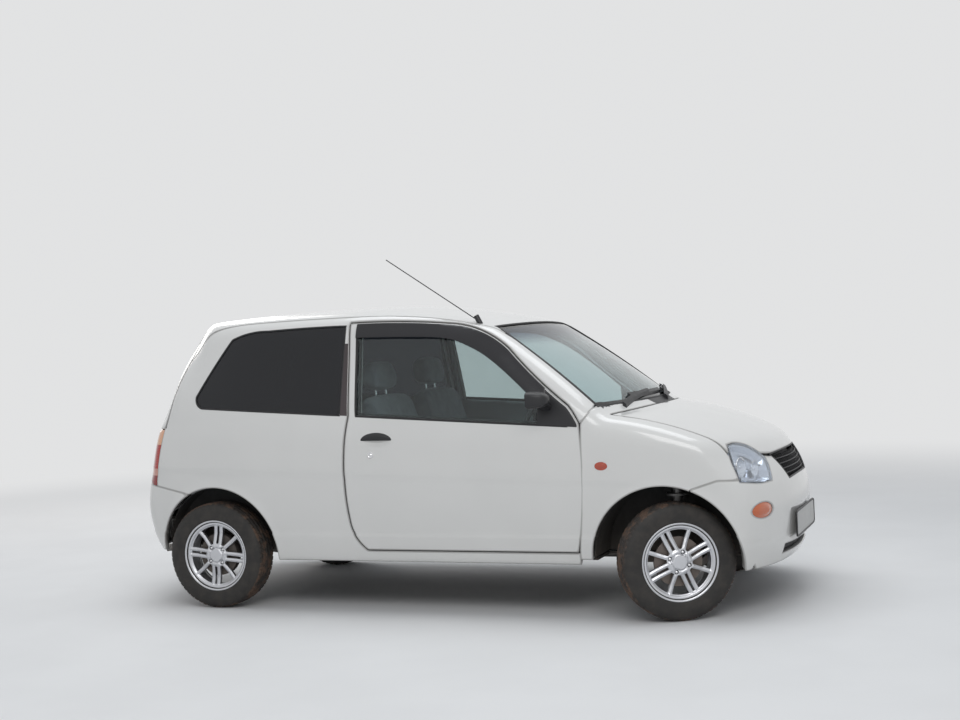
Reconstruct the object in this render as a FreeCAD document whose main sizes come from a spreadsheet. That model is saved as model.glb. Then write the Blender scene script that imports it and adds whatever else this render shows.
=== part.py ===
"""Three-door kei hatchback, right-hand drive, parked with its front wheels turned left.

Frame: +X forwards, +Y to the car's left, +Z up, millimetres, origin on the ground
under the middle of the overall length and width.
"""
import FreeCAD
import Part
import Sketcher
import math
import os

Vec = FreeCAD.Vector
doc = FreeCAD.newDocument("KeiCar")

# Driving sizes: alias, value in millimetres or degrees
SIZES = (
    ("overall_length", 3395),
    ("overall_width", 1475),
    ("overall_height", 1483),
    ("wheelbase", 2340),
    ("front_overhang", 503),
    ("track", 1300),
    ("tyre_radius", 266),
    ("tyre_width", 150),
    ("rim_radius", 178),
    ("bead_radius", 164),
    ("rim_width", 132),
    ("arch_radius", 340),
    ("liner", 6),
    ("steer_rest", 30),
    ("kingpin_inset", 35),
    ("spindle_radius", 30),
    ("spindle_play", 0.3),
    ("roof_wall", 30),
    ("side_wall", 58),
    ("skin", 12),
    ("glass_inset", 7),
    ("glass_thickness", 5),
    ("shut_gap", 5.5),
    ("hinge_relief", 23),
    ("pin_play", 0.3),
    ("seam", 0.3),
    ("sill_height", 243),
    ("floor_top", 266),
    ("load_floor", 440),
    ("bumper_top", 612),
    ("hood_front_height", 735),
    ("cowl_height", 948),
    ("cowl_setback", 154),
    ("screen_top_height", 1372),
    ("screen_top_setback", 795),
    ("belt_front", 880),
    ("belt_rear", 1006),
    ("roof_ditch", 560),
    ("hinge_pin_radius", 4),
    ("hinge_knuckle_radius", 9),
    ("seat_width", 470),
    ("seat_spacing", 640),
    ("wheel_rim_radius", 185),
)

sheet = doc.addObject("Spreadsheet::Sheet", "Sizes")
for row, (alias, value) in enumerate(SIZES, 1):
    sheet.set(f"A{row}", alias)
    sheet.set(f"B{row}", str(value))
    sheet.setAlias(f"B{row}", alias)
doc.recompute()


def size(alias):
    """The value of one driving size, read from the sheet."""
    return float(sheet.get(alias))


NOSE = size("overall_length") / 2
TAIL = -NOSE
HALF_WIDTH = size("overall_width") / 2
FRONT_AXLE = NOSE - size("front_overhang")
REAR_AXLE = FRONT_AXLE - size("wheelbase")
AXLE_HEIGHT = size("tyre_radius")
TOP = size("overall_height")
SILL = size("sill_height")
COWL = FRONT_AXLE - size("cowl_setback")
SCREEN_TOP = FRONT_AXLE - size("screen_top_setback")
BUMPER_TOP = size("bumper_top")
GAP = size("shut_gap")
SEAM = size("seam")
HALF_TRACK = size("track") / 2
BELT_SLOPE = (size("belt_front") - size("belt_rear")) / (809 + 1203)
FRONT = 1
REAR = -1
SIDES = (("right", -1), ("left", 1))
WIDE = 1000
FAR = 2200


def edge(start, end, sagitta, outward):
    """A straight edge, or the arc whose middle stands off the chord by the sagitta."""
    if abs(sagitta) < 1e-6:
        return Part.LineSegment(start, end).toShape()
    middle = (start + end) / 2 + outward * sagitta
    return Part.Arc(start, middle, end).toShape()


def chain(points, sagittas, outward_of):
    """A closed wire through the points; each edge bulges by its sagitta."""
    edges = []
    for index, start in enumerate(points):
        end = points[(index + 1) % len(points)]
        along = (end - start).normalize()
        edges.append(edge(start, end, sagittas[index], outward_of(along)))
    return Part.Wire(edges)


def prism(plane, outline, low, high):
    """Extrudes an outline of (u, v, sagitta to the next point) between two levels.

    plane is the two axes that u and v run along: "xz", "xy" or "yz".
    """
    place = {
        "xz": lambda u, v: Vec(u, low, v),
        "xy": lambda u, v: Vec(u, v, low),
        "yz": lambda u, v: Vec(low, u, v),
    }[plane]
    across = {"xz": Vec(0, 1, 0), "xy": Vec(0, 0, 1), "yz": Vec(1, 0, 0)}[plane]
    points = [place(row[0], row[1]) for row in outline]
    sagittas = [row[2] if len(row) > 2 else 0 for row in outline]
    wire = chain(points, sagittas, lambda along: along.cross(across))
    solid = Part.Face(wire).extrude(across * (high - low))
    return solid


def block(x0, x1, y0, y1, z0, z1):
    """A box between two corners."""
    corner = Vec(min(x0, x1), min(y0, y1), min(z0, z1))
    return Part.makeBox(abs(x1 - x0), abs(y1 - y0), abs(z1 - z0), corner)


def rod(start, end, radius):
    """A round bar between two points."""
    along = Vec(*end) - Vec(*start)
    return Part.makeCylinder(radius, along.Length, Vec(*start), along)


def fuse(*shapes):
    """One shape out of several that touch."""
    joined = shapes[0]
    for shape in shapes[1:]:
        joined = joined.fuse(shape)
    return joined


def mirrored(shape):
    """The same shape on the car's other side."""
    return shape.mirror(Vec(0, 0, 0), Vec(0, 1, 0))


def on_side(shape, side):
    """A shape drawn for the right side, put on the side asked for."""
    return shape if side < 0 else mirrored(shape)


# The centreline profile, from the front edge of the floor up and over to the tail.
# Columns: x, z, sagitta of the edge to the next row, x and z shift at the body's side
PROFILE = (
    (NOSE - 57, SILL - 38, 9, -150, 0),
    (NOSE - 8, SILL + 90, 2, -150, 0),
    (NOSE, SILL + 237, 4, -150, 0),
    (NOSE - 19, BUMPER_TOP - 22, 3, -150, 0),
    (NOSE - 65, size("hood_front_height"), 8, -225, -15),
    (NOSE - 152, size("hood_front_height") + 62, 20, -190, -2),
    (COWL, size("cowl_height"), 10, -150, -24),
    (SCREEN_TOP, size("screen_top_height"), 28, -70, -30),
    (REAR_AXLE + 745, TOP, 7, 0, -66),
    (TAIL + 397, TOP - 28, 12, 70, -62),
    (TAIL + 305, TOP - 83, 14, 95, -35),
    (TAIL + 107, size("belt_rear") - 46, 5, 110, 0),
    (TAIL + 35, BUMPER_TOP + 38, 4, 120, 0),
    (TAIL + 1.5, BUMPER_TOP - 12, 3, 120, 0),
    (TAIL + 5.5, SILL + 110, 5, 120, 0),
    (TAIL + 60, SILL + 50, 0, 120, 0),
    (REAR_AXLE - 5, SILL, 0, 0, 0),
    (FRONT_AXLE + 5, SILL, 0, 0, 0),
)


def profile(y, inset):
    """The side profile at one distance from the centreline, drawn in by the inset.

    Each corner moves by its shift times the square of y over the half width, so
    roof, bonnet, screen and bumpers are all crowned by one parabola.
    """
    crown = (y / HALF_WIDTH) ** 2
    points = [Vec(x + dx * crown, y, z + dz * crown) for x, z, _, dx, dz in PROFILE]
    placed = []
    for index, point in enumerate(points):
        before = (point - points[index - 1]).normalize()
        after = (points[(index + 1) % len(points)] - point).normalize()
        normal_before = Vec(before.z, 0, -before.x)
        normal_after = Vec(after.z, 0, -after.x)
        middle = (normal_before + normal_after).normalize()
        placed.append(point - middle * (inset / middle.dot(normal_before)))
    sagittas = [row[2] for row in PROFILE]
    return chain(placed, sagittas, lambda along: Vec(along.z, 0, -along.x))


def crowned_solid(inset):
    """Everything inside the side profile, drawn in by the inset."""
    reach = HALF_WIDTH + 30
    sections = [profile(y, inset) for y in (-reach, 0, reach)]
    return Part.makeLoft(sections, True, False)


# The plan outline at rising heights.
# Columns: z, half width, x of the front corner, x of the rear corner
PLAN = (
    (150, HALF_WIDTH - 68, NOSE - 167, TAIL + 170),
    (400, HALF_WIDTH - 15, NOSE - 105, TAIL + 107),
    (650, HALF_WIDTH, NOSE - 122, TAIL + 122),
    (900, HALF_WIDTH - 7, NOSE - 137, TAIL + 187),
    (1150, HALF_WIDTH - 69, NOSE - 152, TAIL + 277),
    (1520, HALF_WIDTH - 172, NOSE - 167, TAIL + 437),
)


def plan_outline(z, half, front, rear, inset):
    """The plan outline at one height: flat sides that draw in to rounded corners."""
    half -= inset
    front -= inset
    rear += inset
    # x, y, sagitta of the edge to the next row, on the right side from front to rear
    rows = (
        (front + 190, 0, 0),
        (front, half - 130, 17),
        (front - 80, half - 50, 12.5),
        (FRONT_AXLE - 195, half, 0),
        (REAR_AXLE + 195, half, 10),
        (rear + 80, half - 40, 17),
        (rear, half - 120, 0),
        (rear - 170, 0, 0),
    )
    points = [Vec(x, -y, z) for x, y, _ in rows]
    points += [Vec(x, y, z) for x, y, _ in rows[-2:0:-1]]
    sagittas = [row[2] for row in rows[:-1]]
    sagittas += sagittas[::-1]
    return chain(points, sagittas, lambda along: Vec(-along.y, along.x, 0))


def sided_solid(inset):
    """Everything inside the plan outlines, drawn in by the inset."""
    return Part.makeLoft([plan_outline(*row, inset) for row in PLAN], True, False)


def body_solid(top_inset, side_inset):
    """The whole car's outer form, drawn in from above and from the sides."""
    return crowned_solid(top_inset).common(sided_solid(side_inset))


KICK = REAR_AXLE + 545
FLOOR = size("floor_top")
LOAD = size("load_floor")
OUTER = body_solid(0, 0)
BEHIND_SKIN = body_solid(size("skin"), size("skin"))
CABIN = body_solid(size("roof_wall"), size("side_wall"))
FITTED = body_solid(size("roof_wall") + SEAM, size("side_wall") + SEAM)
GLASS_OUT = body_solid(size("glass_inset"), size("glass_inset"))
GLASS_DEPTH = size("glass_inset") + size("glass_thickness")
GLASS_IN = body_solid(GLASS_DEPTH, GLASS_DEPTH)

SKIN = OUTER.cut(BEHIND_SKIN)
WALL = OUTER.cut(CABIN)
GLASS = GLASS_OUT.cut(GLASS_IN)


def belt(x):
    """Height of the windows' lower edge."""
    return size("belt_rear") + BELT_SLOPE * (x + 1203)


# Outlines seen from the side: x, z, sagitta of the edge to the next point
DOOR_FRONT = FRONT_AXLE - 384
DOOR_REAR = REAR_AXLE + 780
DOOR_BOTTOM = SILL + 62


def door_outline(grow):
    """The door's shut line, grown outwards by the clearance asked for."""
    return (
        (DOOR_FRONT - 38 + grow, DOOR_BOTTOM - grow, -26),
        (DOOR_FRONT - 5 + grow, belt(DOOR_FRONT) + 16, -3),
        (DOOR_FRONT - 60 + grow, belt(DOOR_FRONT) + 100 + grow, 8),
        (SCREEN_TOP + 50 + grow, 1248 + grow, -26),
        (SCREEN_TOP - 250, 1379 + grow, -8),
        (DOOR_REAR - 22 - grow, 1403 + grow, 0),
        (DOOR_REAR + 6 - grow, belt(DOOR_REAR), -22),
        (DOOR_REAR - 4 - grow, DOOR_BOTTOM + 120, -12),
        (DOOR_REAR + 72, DOOR_BOTTOM - grow, 0),
    )


def window_outline(inset):
    """The door glass opening, smaller than the door by the frame's width."""
    frame = 34 + inset
    return (
        (DOOR_FRONT - 22 - frame, belt(DOOR_FRONT) + inset, -4),
        (DOOR_FRONT - 105 - frame, belt(DOOR_FRONT) + 100, 8),
        (SCREEN_TOP + 20 - frame, 1225 - frame, -20),
        (SCREEN_TOP - 260, 1375 - frame, -8),
        (DOOR_REAR + 5 + frame, 1398 - frame, 0),
        (DOOR_REAR + 22 + frame, belt(DOOR_REAR) + inset, 0),
    )


def quarter_outline(inset):
    """The fixed side window behind the door."""
    return (
        (DOOR_REAR - 42 - inset, belt(DOOR_REAR) + inset, 0),
        (DOOR_REAR - 46 - inset, 1396 - inset, -3),
        (REAR_AXLE + 300, 1388 - inset, -12),
        (REAR_AXLE + 95, 1352 - inset, -6),
        (REAR_AXLE - 96 + inset, 1062, -14),
        (REAR_AXLE - 48, belt(REAR_AXLE - 48) + inset, 0),
    )


TAILGATE_SEAM = (
    (TAIL + 401, TOP - 40),
    (TAIL + 382, 1306),
    (TAIL + 305, 1055),
    (TAIL + 272, 912),
)
LAMP_TOP = 908
LAMP_INNER = 545


def tailgate_region(grow):
    """What swings up at the tail: the upper part wraps the corners."""
    rows = [(x + grow, z) for x, z in TAILGATE_SEAM]
    rows[-1] = (rows[-1][0], LAMP_TOP - grow)
    upper = prism(
        "xz",
        [(rows[0][0], TOP + 100)] + rows + [(TAIL - 200, LAMP_TOP - grow), (TAIL - 200, TOP + 100)],
        -WIDE,
        WIDE,
    )
    half = LAMP_INNER + grow
    bottom = BUMPER_TOP + 28 - grow
    lower = block(TAIL - 200, TAIL + 240, -half, half, bottom, LAMP_TOP)
    return upper.fuse(lower)


# Outlines seen from above: x, y, sagitta of the edge to the next point
HOOD_EDGE = 640
HOOD_CORNER = COWL - 101


def hood_outline(grow):
    """The bonnet's shut line."""
    lamp_corner = NOSE - 241 + grow
    return (
        (HOOD_CORNER - grow, -HOOD_EDGE - grow, 0),
        (lamp_corner, -604 - grow, -10),
        (NOSE - 160 + grow, -545 - grow, -10),
        (NOSE - 118 + grow, -345, 58),
        (NOSE - 118 + grow, 345, -10),
        (NOSE - 160 + grow, 545 + grow, -10),
        (lamp_corner, 604 + grow, 0),
        (HOOD_CORNER - grow, HOOD_EDGE + grow, -108),
    )


def screen_outline(grow):
    """The windscreen opening, between the pillars, the roof and the cowl."""
    return (
        (SCREEN_TOP - 50 - grow, -535 - grow, 0),
        (COWL - 166, -648 - grow, 128),
        (COWL - 166, 648 + grow, 0),
        (SCREEN_TOP - 50 - grow, 535 + grow, -46),
    )


HEADLAMP = (
    (NOSE - 241, 780),
    (NOSE - 160, 800),
    (NOSE - 92, 742),
    (NOSE - 52, 606),
    (NOSE - 180, 627),
)
GRILLE = ((-318, 712), (318, 712), (232, 592), (-232, 592))
FENDER_SEAM = (
    (DOOR_FRONT + GAP, SILL),
    (FRONT_AXLE + 100, SILL),
    (FRONT_AXLE + 112, 592),
    (FRONT_AXLE + 230, 630),
    (NOSE - 178, 628),
    (NOSE - 240, 778),
)


HINGE_X = DOOR_FRONT - 7
HINGE_Y = HALF_WIDTH - 15
ARCH_OFFSET = 17
ARCH_CENTRES = {FRONT: FRONT_AXLE - ARCH_OFFSET, REAR: REAR_AXLE + ARCH_OFFSET}
LINER = size("liner")
LINER_EDGE = HALF_WIDTH - 40
WELL_INNER = {FRONT: 410, REAR: 545}
SILL_INNER = 600


def arch_cut(axle, grow, outer):
    """The wheel opening as a cylinder right across the car."""
    start = Vec(ARCH_CENTRES[axle], -outer, AXLE_HEIGHT + 6)
    return Part.makeCylinder(size("arch_radius") + grow, 2 * outer, start, Vec(0, 1, 0))


ARCHES = fuse(
    arch_cut(FRONT, 0, WIDE),
    arch_cut(REAR, 0, WIDE),
    arch_cut(FRONT, LINER + SEAM, LINER_EDGE + SEAM),
    arch_cut(REAR, LINER + SEAM, LINER_EDGE + SEAM),
)


def well_space(axle, grow):
    """What one pair of wheel wells fills, liner included."""
    inner = WELL_INNER[axle] - grow
    space = arch_cut(axle, LINER + grow, LINER_EDGE + grow)
    return space.cut(block(TAIL, NOSE, -inner, inner, 0, TOP))


WELLS = well_space(FRONT, SEAM).fuse(well_space(REAR, SEAM))


def toward(number):
    """The sign of a number, as +1 or -1."""
    return math.copysign(1, number)


def lamp_region(grow):
    """The headlamps' place on both sides, between bonnet, wing and bumper."""
    count = len(HEADLAMP)
    middle_x = sum(x for x, _ in HEADLAMP) / count
    middle_z = sum(z for _, z in HEADLAMP) / count
    grown = []
    for x, z in HEADLAMP:
        away = Vec(x - middle_x, z - middle_z, 0).normalize() * grow
        grown.append((x + away.x, z + away.y))
    inner = LAMP_FRONT_INNER - grow
    return prism("xz", grown, -WIDE, WIDE).cut(block(TAIL, NOSE, -inner, inner, 0, TOP))


def grille_region(grow):
    """The grille's opening, seen from the front."""
    middle = (GRILLE[0][1] + GRILLE[-1][1]) / 2
    outline = [(y + toward(y) * grow, z + toward(z - middle) * grow) for y, z in GRILLE]
    return prism("yz", outline, NOSE - 250, NOSE + 50)


def roof_region(grow):
    """The roof panel's place, between the two ditches."""
    ditch = size("roof_ditch") + grow
    front = SCREEN_TOP - 50
    return prism(
        "xy",
        (
            (TAIL + 250, -ditch, 0),
            (front + grow, -ditch, 0),
            (front + grow, -535, 46),
            (front + grow, 535, 0),
            (front + grow, ditch, 0),
            (TAIL + 250, ditch, 0),
        ),
        1300,
        TOP + 50,
    )


LAMP_FRONT_INNER = 338
HOOD_LOW = 717
HOOD_REGION = prism("xy", hood_outline(0), HOOD_LOW, TOP)
HOOD_CLEAR = prism("xy", hood_outline(GAP), HOOD_LOW, TOP)
SCREEN_REGION = prism("xy", screen_outline(0), 800, TOP + 50)
LAMPS = lamp_region(0)
LAMPS_CLEAR = lamp_region(0.8)
GRILLE_CLEAR = grille_region(0)
TAIL_REGION = tailgate_region(0)
TAIL_CLEAR = tailgate_region(GAP)


def front_end(grow):
    """Everything ahead of the seam between wing and front bumper."""
    outline = [(x - grow, z + grow) for x, z in FENDER_SEAM]
    outline += [(NOSE + 50, FENDER_SEAM[-1][1]), (NOSE + 50, 100), (FENDER_SEAM[0][0] - grow, 100)]
    return prism("xz", outline, -WIDE, WIDE)


def rear_end(grow):
    """Everything behind and below the seam between rear quarter and bumper."""
    outline = (
        (TAIL - 50, BUMPER_TOP + 26 + grow),
        (TAIL + 110, BUMPER_TOP + 26 + grow),
        (TAIL + 270, BUMPER_TOP - 6 + grow),
        (REAR_AXLE - 150, BUMPER_TOP - 30 + grow),
        (REAR_AXLE - 150, 100),
        (TAIL - 50, 100),
    )
    return prism("xz", outline, -WIDE, WIDE)


def tail_lamp_region(grow):
    """The tail lamps' place on the rear corners."""
    outline = (
        (TAIL - 50, LAMP_TOP + grow),
        (TAIL + 272 + grow, LAMP_TOP + grow),
        (TAIL + 216 + grow, BUMPER_TOP + 32 - grow),
        (TAIL - 50, BUMPER_TOP + 32 - grow),
    )
    inner = LAMP_INNER + GAP - grow
    return prism("xz", outline, -WIDE, WIDE).cut(block(TAIL - 60, 0, -inner, inner, 0, TOP))


def fender_region(grow):
    """The front wing's place, from the door's front edge to the bumper's seam."""
    front = (
        (DOOR_FRONT - 38 + GAP - grow, SILL + 28 - grow, 0),
        (DOOR_FRONT - 38 + GAP - grow, DOOR_BOTTOM - GAP, -26),
        (DOOR_FRONT - 5 + GAP - grow, belt(DOOR_FRONT) + 16, 0),
        (DOOR_FRONT + 42, size("cowl_height") + 8 + grow, 0),
        (NOSE, size("cowl_height") + 8 + grow, 0),
        (NOSE, SILL + 28 - grow, 0),
    )
    return prism("xz", front, -WIDE, WIDE)


DOOR_CLEAR = prism("xz", door_outline(GAP), -WIDE, WIDE)
HINGE_RELIEF = rod(
    (HINGE_X, -HINGE_Y, SILL), (HINGE_X, -HINGE_Y, size("belt_front") + 45), size("hinge_relief")
)
COWL_HALF = 632
COWL_LOW = 840
RIGHT_OF_CENTRE = block(TAIL - 60, NOSE + 60, -WIDE, 0, 0, TOP + 60)
INTAKE = block(NOSE - 250, NOSE + 60, -330, 330, 252, 300)
FRONT_LIMIT = (
    (FRONT_AXLE + 80, SILL - 38, 0),
    (NOSE + 60, SILL - 38, 0),
    (NOSE + 60, TOP, 0),
    (FRONT_AXLE + 80, TOP, 0),
)


def main_solid(shape):
    """The largest solid of a cut shape, without the slivers that fall off it."""
    return max(shape.Solids, key=lambda solid: solid.Volume)


def add(name, shape):
    """Adds one sub-part whose shape is worked out from the body's outer form."""
    part = doc.addObject("Part::Feature", name)
    part.Shape = shape
    part.Placement = FreeCAD.Placement()
    part.Label = name
    PARTS.append(part)
    return shape


def pair(shape):
    """A shape and its mirror image, as one part of separate solids."""
    return Part.makeCompound(shape.Solids + mirrored(shape).Solids)


def between(outer_inset, inner_inset):
    """The layer of the body between two insets; a negative inset stands proud."""
    outer = body_solid(outer_inset, outer_inset)
    return outer.cut(body_solid(inner_inset, inner_inset))


PARTS = []
RIGHT_HALF = block(TAIL - 20, NOSE + 20, -WIDE, -400, 0, TOP + 20)

# Front wings
SIDE_LAMP = (DOOR_FRONT + 95, 704)
CORNER_LAMP = (575, 488)


def side_lamp_region(grow):
    """The repeater lamps' ovals on the wings."""
    ring = Part.Ellipse(Vec(0, 0, 0), 27 + grow, 13 + grow).toShape()
    ring.rotate(Vec(0, 0, 0), Vec(1, 0, 0), 90)
    ring.translate(Vec(SIDE_LAMP[0], WIDE, SIDE_LAMP[1]))
    return Part.Face(Part.Wire([ring])).extrude(Vec(0, -2 * WIDE, 0))


def corner_lamp_region(grow):
    """The turn lamps' ovals in the front bumper."""
    region = None
    for side in (-1, 1):
        ring = Part.Ellipse(Vec(0, 0, 0), 55 + grow, 27 + grow).toShape()
        ring.rotate(Vec(0, 0, 0), Vec(1, 0, 0), 90)
        ring.rotate(Vec(0, 0, 0), Vec(0, 0, 1), 90)
        ring.translate(Vec(NOSE - 300, side * CORNER_LAMP[0], CORNER_LAMP[1]))
        tube = Part.Face(Part.Wire([ring])).extrude(Vec(400, 0, 0))
        region = tube if region is None else region.fuse(tube)
    return region


fender = SKIN.common(fender_region(0)).common(RIGHT_HALF)
fender = fender.cut(
    [
        HOOD_CLEAR,
        front_end(SEAM),
        LAMPS_CLEAR,
        ARCHES,
        SCREEN_REGION,
        HINGE_RELIEF,
        side_lamp_region(SEAM),
        block(DOOR_FRONT, HOOD_CORNER + 60, -COWL_HALF - SEAM, 0, 800, TOP),
    ]
)
fender = main_solid(fender)
add("front_fenders", pair(fender))

# Body sides
fender_layer = fender_region(SEAM).cut(body_solid(size("skin") + SEAM, size("skin") + SEAM))
fender_layer = fender_layer.common(block(DOOR_FRONT - 60, NOSE, -WIDE, WIDE, 0, TOP))
side = WALL.common(block(TAIL - 20, DOOR_FRONT + 75, -WIDE, -450, 0, TOP + 20))
side = side.cut(
    [
        fender_layer,
        roof_region(SEAM),
        SCREEN_REGION,
        TAIL_CLEAR,
        tail_lamp_region(SEAM),
        rear_end(SEAM),
        DOOR_CLEAR,
        prism("xz", quarter_outline(0), -WIDE, WIDE),
        HINGE_RELIEF,
        ARCHES,
        block(TAIL, NOSE, -SILL_INNER, SILL_INNER, 0, 420),
        block(COWL - 180 - SEAM, NOSE, -COWL_HALF - SEAM, 0, COWL_LOW - SEAM, TOP),
    ]
)
JACKING_PAD = block(-45, 45, -655, -625, SILL - 5, SILL + 12)
side = main_solid(side).fuse(JACKING_PAD)


def hinge_ears(z):
    """The pillar's half of one door hinge: two ears, their pin and the leaf."""
    ears = None
    for low in (z - HINGE_HALF, z + EAR_GAP):
        ear = fuse(
            rod((HINGE_X, -HINGE_Y, low), (HINGE_X, -HINGE_Y, low + HINGE_HALF - EAR_GAP), KNUCKLE),
            block(HINGE_X - 9, HINGE_X, -HINGE_Y, -HINGE_Y + 21, low, low + HINGE_HALF - EAR_GAP),
        )
        ears = ear if ears is None else ears.fuse(ear)
    pin = rod((HINGE_X, -HINGE_Y, z - HINGE_HALF), (HINGE_X, -HINGE_Y, z + HINGE_HALF), PIN)
    leaf = block(
        HINGE_X - 9,
        DOOR_FRONT + 24,
        -HINGE_Y + 15,
        -HINGE_Y + 21,
        z - HINGE_HALF,
        z + HINGE_HALF,
    )
    return fuse(ears, pin, leaf)


def hinge_barrel(z):
    """The door's half of one hinge: a bored barrel on a strap."""
    half = EAR_GAP - 0.5
    barrel = fuse(
        rod((HINGE_X, -HINGE_Y, z - half), (HINGE_X, -HINGE_Y, z + half), KNUCKLE),
        block(HINGE_X - 50, HINGE_X, -HINGE_Y - 4, -HINGE_Y + 4, z - half, z + half),
    )
    bore = rod((HINGE_X, -HINGE_Y, z - 50), (HINGE_X, -HINGE_Y, z + 50), PIN + size("pin_play"))
    return barrel.cut(bore)


HINGE_HEIGHTS = (470, 790)
HINGE_HALF = 28
EAR_GAP = 11
KNUCKLE = size("hinge_knuckle_radius")
PIN = size("hinge_pin_radius")
for z in HINGE_HEIGHTS:
    side = side.fuse(hinge_ears(z))
FUEL_LID = (REAR_AXLE + 115, 770)
LID_HALF = 72


def lid_region(grow):
    """The fuel lid's square, on the left rear quarter."""
    x, z = FUEL_LID
    half = LID_HALF + grow
    return block(x - half, x + half, 400, WIDE, z - half, z + half)


LID_HINGE = (FUEL_LID[0] + LID_HALF - 10, HALF_WIDTH - 18, FUEL_LID[1])
LID_BARREL = 15
LID_EAR = 5


def lid_rod(low, high, radius):
    """A round bar on the fuel lid's hinge line."""
    x, y, z = LID_HINGE
    return rod((x, y, z + low), (x, y, z + high), radius)


def lid_block(x0, x1, y0, y1, low, high):
    """A box beside the fuel lid's hinge line."""
    x, y, z = LID_HINGE
    return block(x + x0, x + x1, y + y0, y + y1, z + low, z + high)


lid_recess = lid_region(GAP).common(block(TAIL, NOSE, HALF_WIDTH - 45, WIDE, 0, TOP))
side_left = mirrored(side).cut([lid_recess, lid_rod(-LID_HALF - GAP, LID_HALF + GAP, 31)])
lid_ears = fuse(
    lid_rod(-LID_BARREL - 12, LID_BARREL + 12, 3),
    lid_rod(LID_BARREL + 1, LID_BARREL + 12, LID_EAR),
    lid_rod(-LID_BARREL - 12, -LID_BARREL - 1, LID_EAR),
    lid_block(-LID_EAR, 0, -24, 0, LID_BARREL + 1, LID_BARREL + 12),
    lid_block(-LID_EAR, 0, -24, 0, -LID_BARREL - 12, -LID_BARREL - 1),
    lid_block(-LID_EAR, 40, -28, -20, -LID_BARREL - 12, LID_BARREL + 12),
)
add("body_side_right", side)
add("body_side_left", main_solid(side_left.fuse(lid_ears)))

# Fuel lid with the barrel of its hinge at the front edge
lid = SKIN.common(lid_region(0)).fuse(
    fuse(lid_rod(-LID_BARREL, LID_BARREL, 6), lid_block(-12, 0, 0, 12, -LID_BARREL, LID_BARREL))
)
lid = lid.cut(
    [
        lid_rod(-LID_BARREL - 1, LID_BARREL + 1, 3 + size("pin_play")),
        lid_rod(LID_BARREL, LID_BARREL + 15, LID_EAR + 4),
        lid_rod(-LID_BARREL - 15, -LID_BARREL, LID_EAR + 4),
    ]
)
add("fuel_lid", main_solid(lid))

# Roof
roof = WALL.common(roof_region(0)).cut([TAIL_CLEAR, SCREEN_REGION])
TAIL_HINGE = (TAIL + 392, TOP - 37)
relief = rod((TAIL_HINGE[0], -260, TAIL_HINGE[1]), (TAIL_HINGE[0], 260, TAIL_HINGE[1]), 17.5)
roof = main_solid(roof.cut(relief))


def tail_hinge(half, radius, y):
    """A round bar on the tailgate's hinge line."""
    x, z = TAIL_HINGE
    return rod((x, y - half, z), (x, y + half, z), radius)


HINGE_SPREAD = 150
for y in (-HINGE_SPREAD, HINGE_SPREAD):
    ears = fuse(tail_hinge(30, 3, y), tail_hinge(30, 6.5, y).cut(tail_hinge(15, 7, y)))
    hinge_x, hinge_z = TAIL_HINGE
    webs = block(hinge_x - 3, hinge_x + 40, y - 30, y + 30, hinge_z - 14, hinge_z - 3)
    webs = webs.cut(tail_hinge(15, 18, y))
    roof = roof.fuse(ears.fuse(webs))
add("roof_panel", main_solid(roof))

# Bonnet, with two straps that reach back to its pins below the cowl
hood = main_solid(SKIN.common(HOOD_REGION))
HOOD_HINGE = (COWL - 135, size("cowl_height") - 23)
STRAP = (556, 564)
STRAP_OUTLINE = (
    (HOOD_HINGE[0] - 9, HOOD_HINGE[1] - 9),
    (HOOD_HINGE[0] + 9, HOOD_HINGE[1] - 9),
    (HOOD_CORNER + 130, HOOD_HINGE[1] - 75),
    (HOOD_CORNER + 130, HOOD_HINGE[1] + 30),
    (HOOD_CORNER + 50, HOOD_HINGE[1] + 30),
    (HOOD_CORNER + 35, HOOD_HINGE[1] - 17),
    (HOOD_HINGE[0] + 24, HOOD_HINGE[1] - 3),
    (HOOD_HINGE[0] - 9, HOOD_HINGE[1] + 9),
)
for side_sign in (-1, 1):
    strap = prism("xz", STRAP_OUTLINE, *sorted((side_sign * STRAP[0], side_sign * STRAP[1])))
    bore = rod(
        (HOOD_HINGE[0], side_sign * (STRAP[0] - 9), HOOD_HINGE[1]),
        (HOOD_HINGE[0], side_sign * (STRAP[1] + 9), HOOD_HINGE[1]),
        PIN + size("pin_play"),
    )
    hood = hood.fuse(strap.common(OUTER)).cut(bore)
add("hood", hood)

# Cowl and bulkhead
cowl = SKIN.common(block(COWL - 180, COWL + 20, -COWL_HALF, COWL_HALF, COWL_LOW, TOP))
cowl = cowl.cut([HOOD_CLEAR, SCREEN_REGION])
for side_sign in (-1, 1):
    slot = block(
        HOOD_HINGE[0] - 15, COWL, side_sign * (STRAP[0] - 5), side_sign * (STRAP[1] + 5), 800, TOP
    )
    cowl = cowl.cut(slot)
BULKHEAD = COWL - 160
shelf_top = size("cowl_height") - 62
bulkhead = fuse(
    block(BULKHEAD, BULKHEAD + 12, -700, 700, size("floor_top") + SEAM, shelf_top),
    block(BULKHEAD, COWL - 60, -545, 545, shelf_top - 12, shelf_top),
)
bulkhead = bulkhead.common(FITTED).cut(WELLS)
for side_sign in (-1, 1):
    hinge = fuse(
        rod(
            (HOOD_HINGE[0], side_sign * (STRAP[0] - 10), HOOD_HINGE[1]),
            (HOOD_HINGE[0], side_sign * STRAP[1], HOOD_HINGE[1]),
            PIN,
        ),
        block(
            BULKHEAD, HOOD_HINGE[0] + 9, side_sign * (STRAP[0] - 16), side_sign * (STRAP[0] - 1),
            shelf_top - 12, HOOD_HINGE[1] + 9,
        ),
    )
    bulkhead = bulkhead.fuse(hinge)
add("cowl_panel", Part.makeCompound(cowl.Solids))
add("bulkhead", main_solid(bulkhead))

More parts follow.
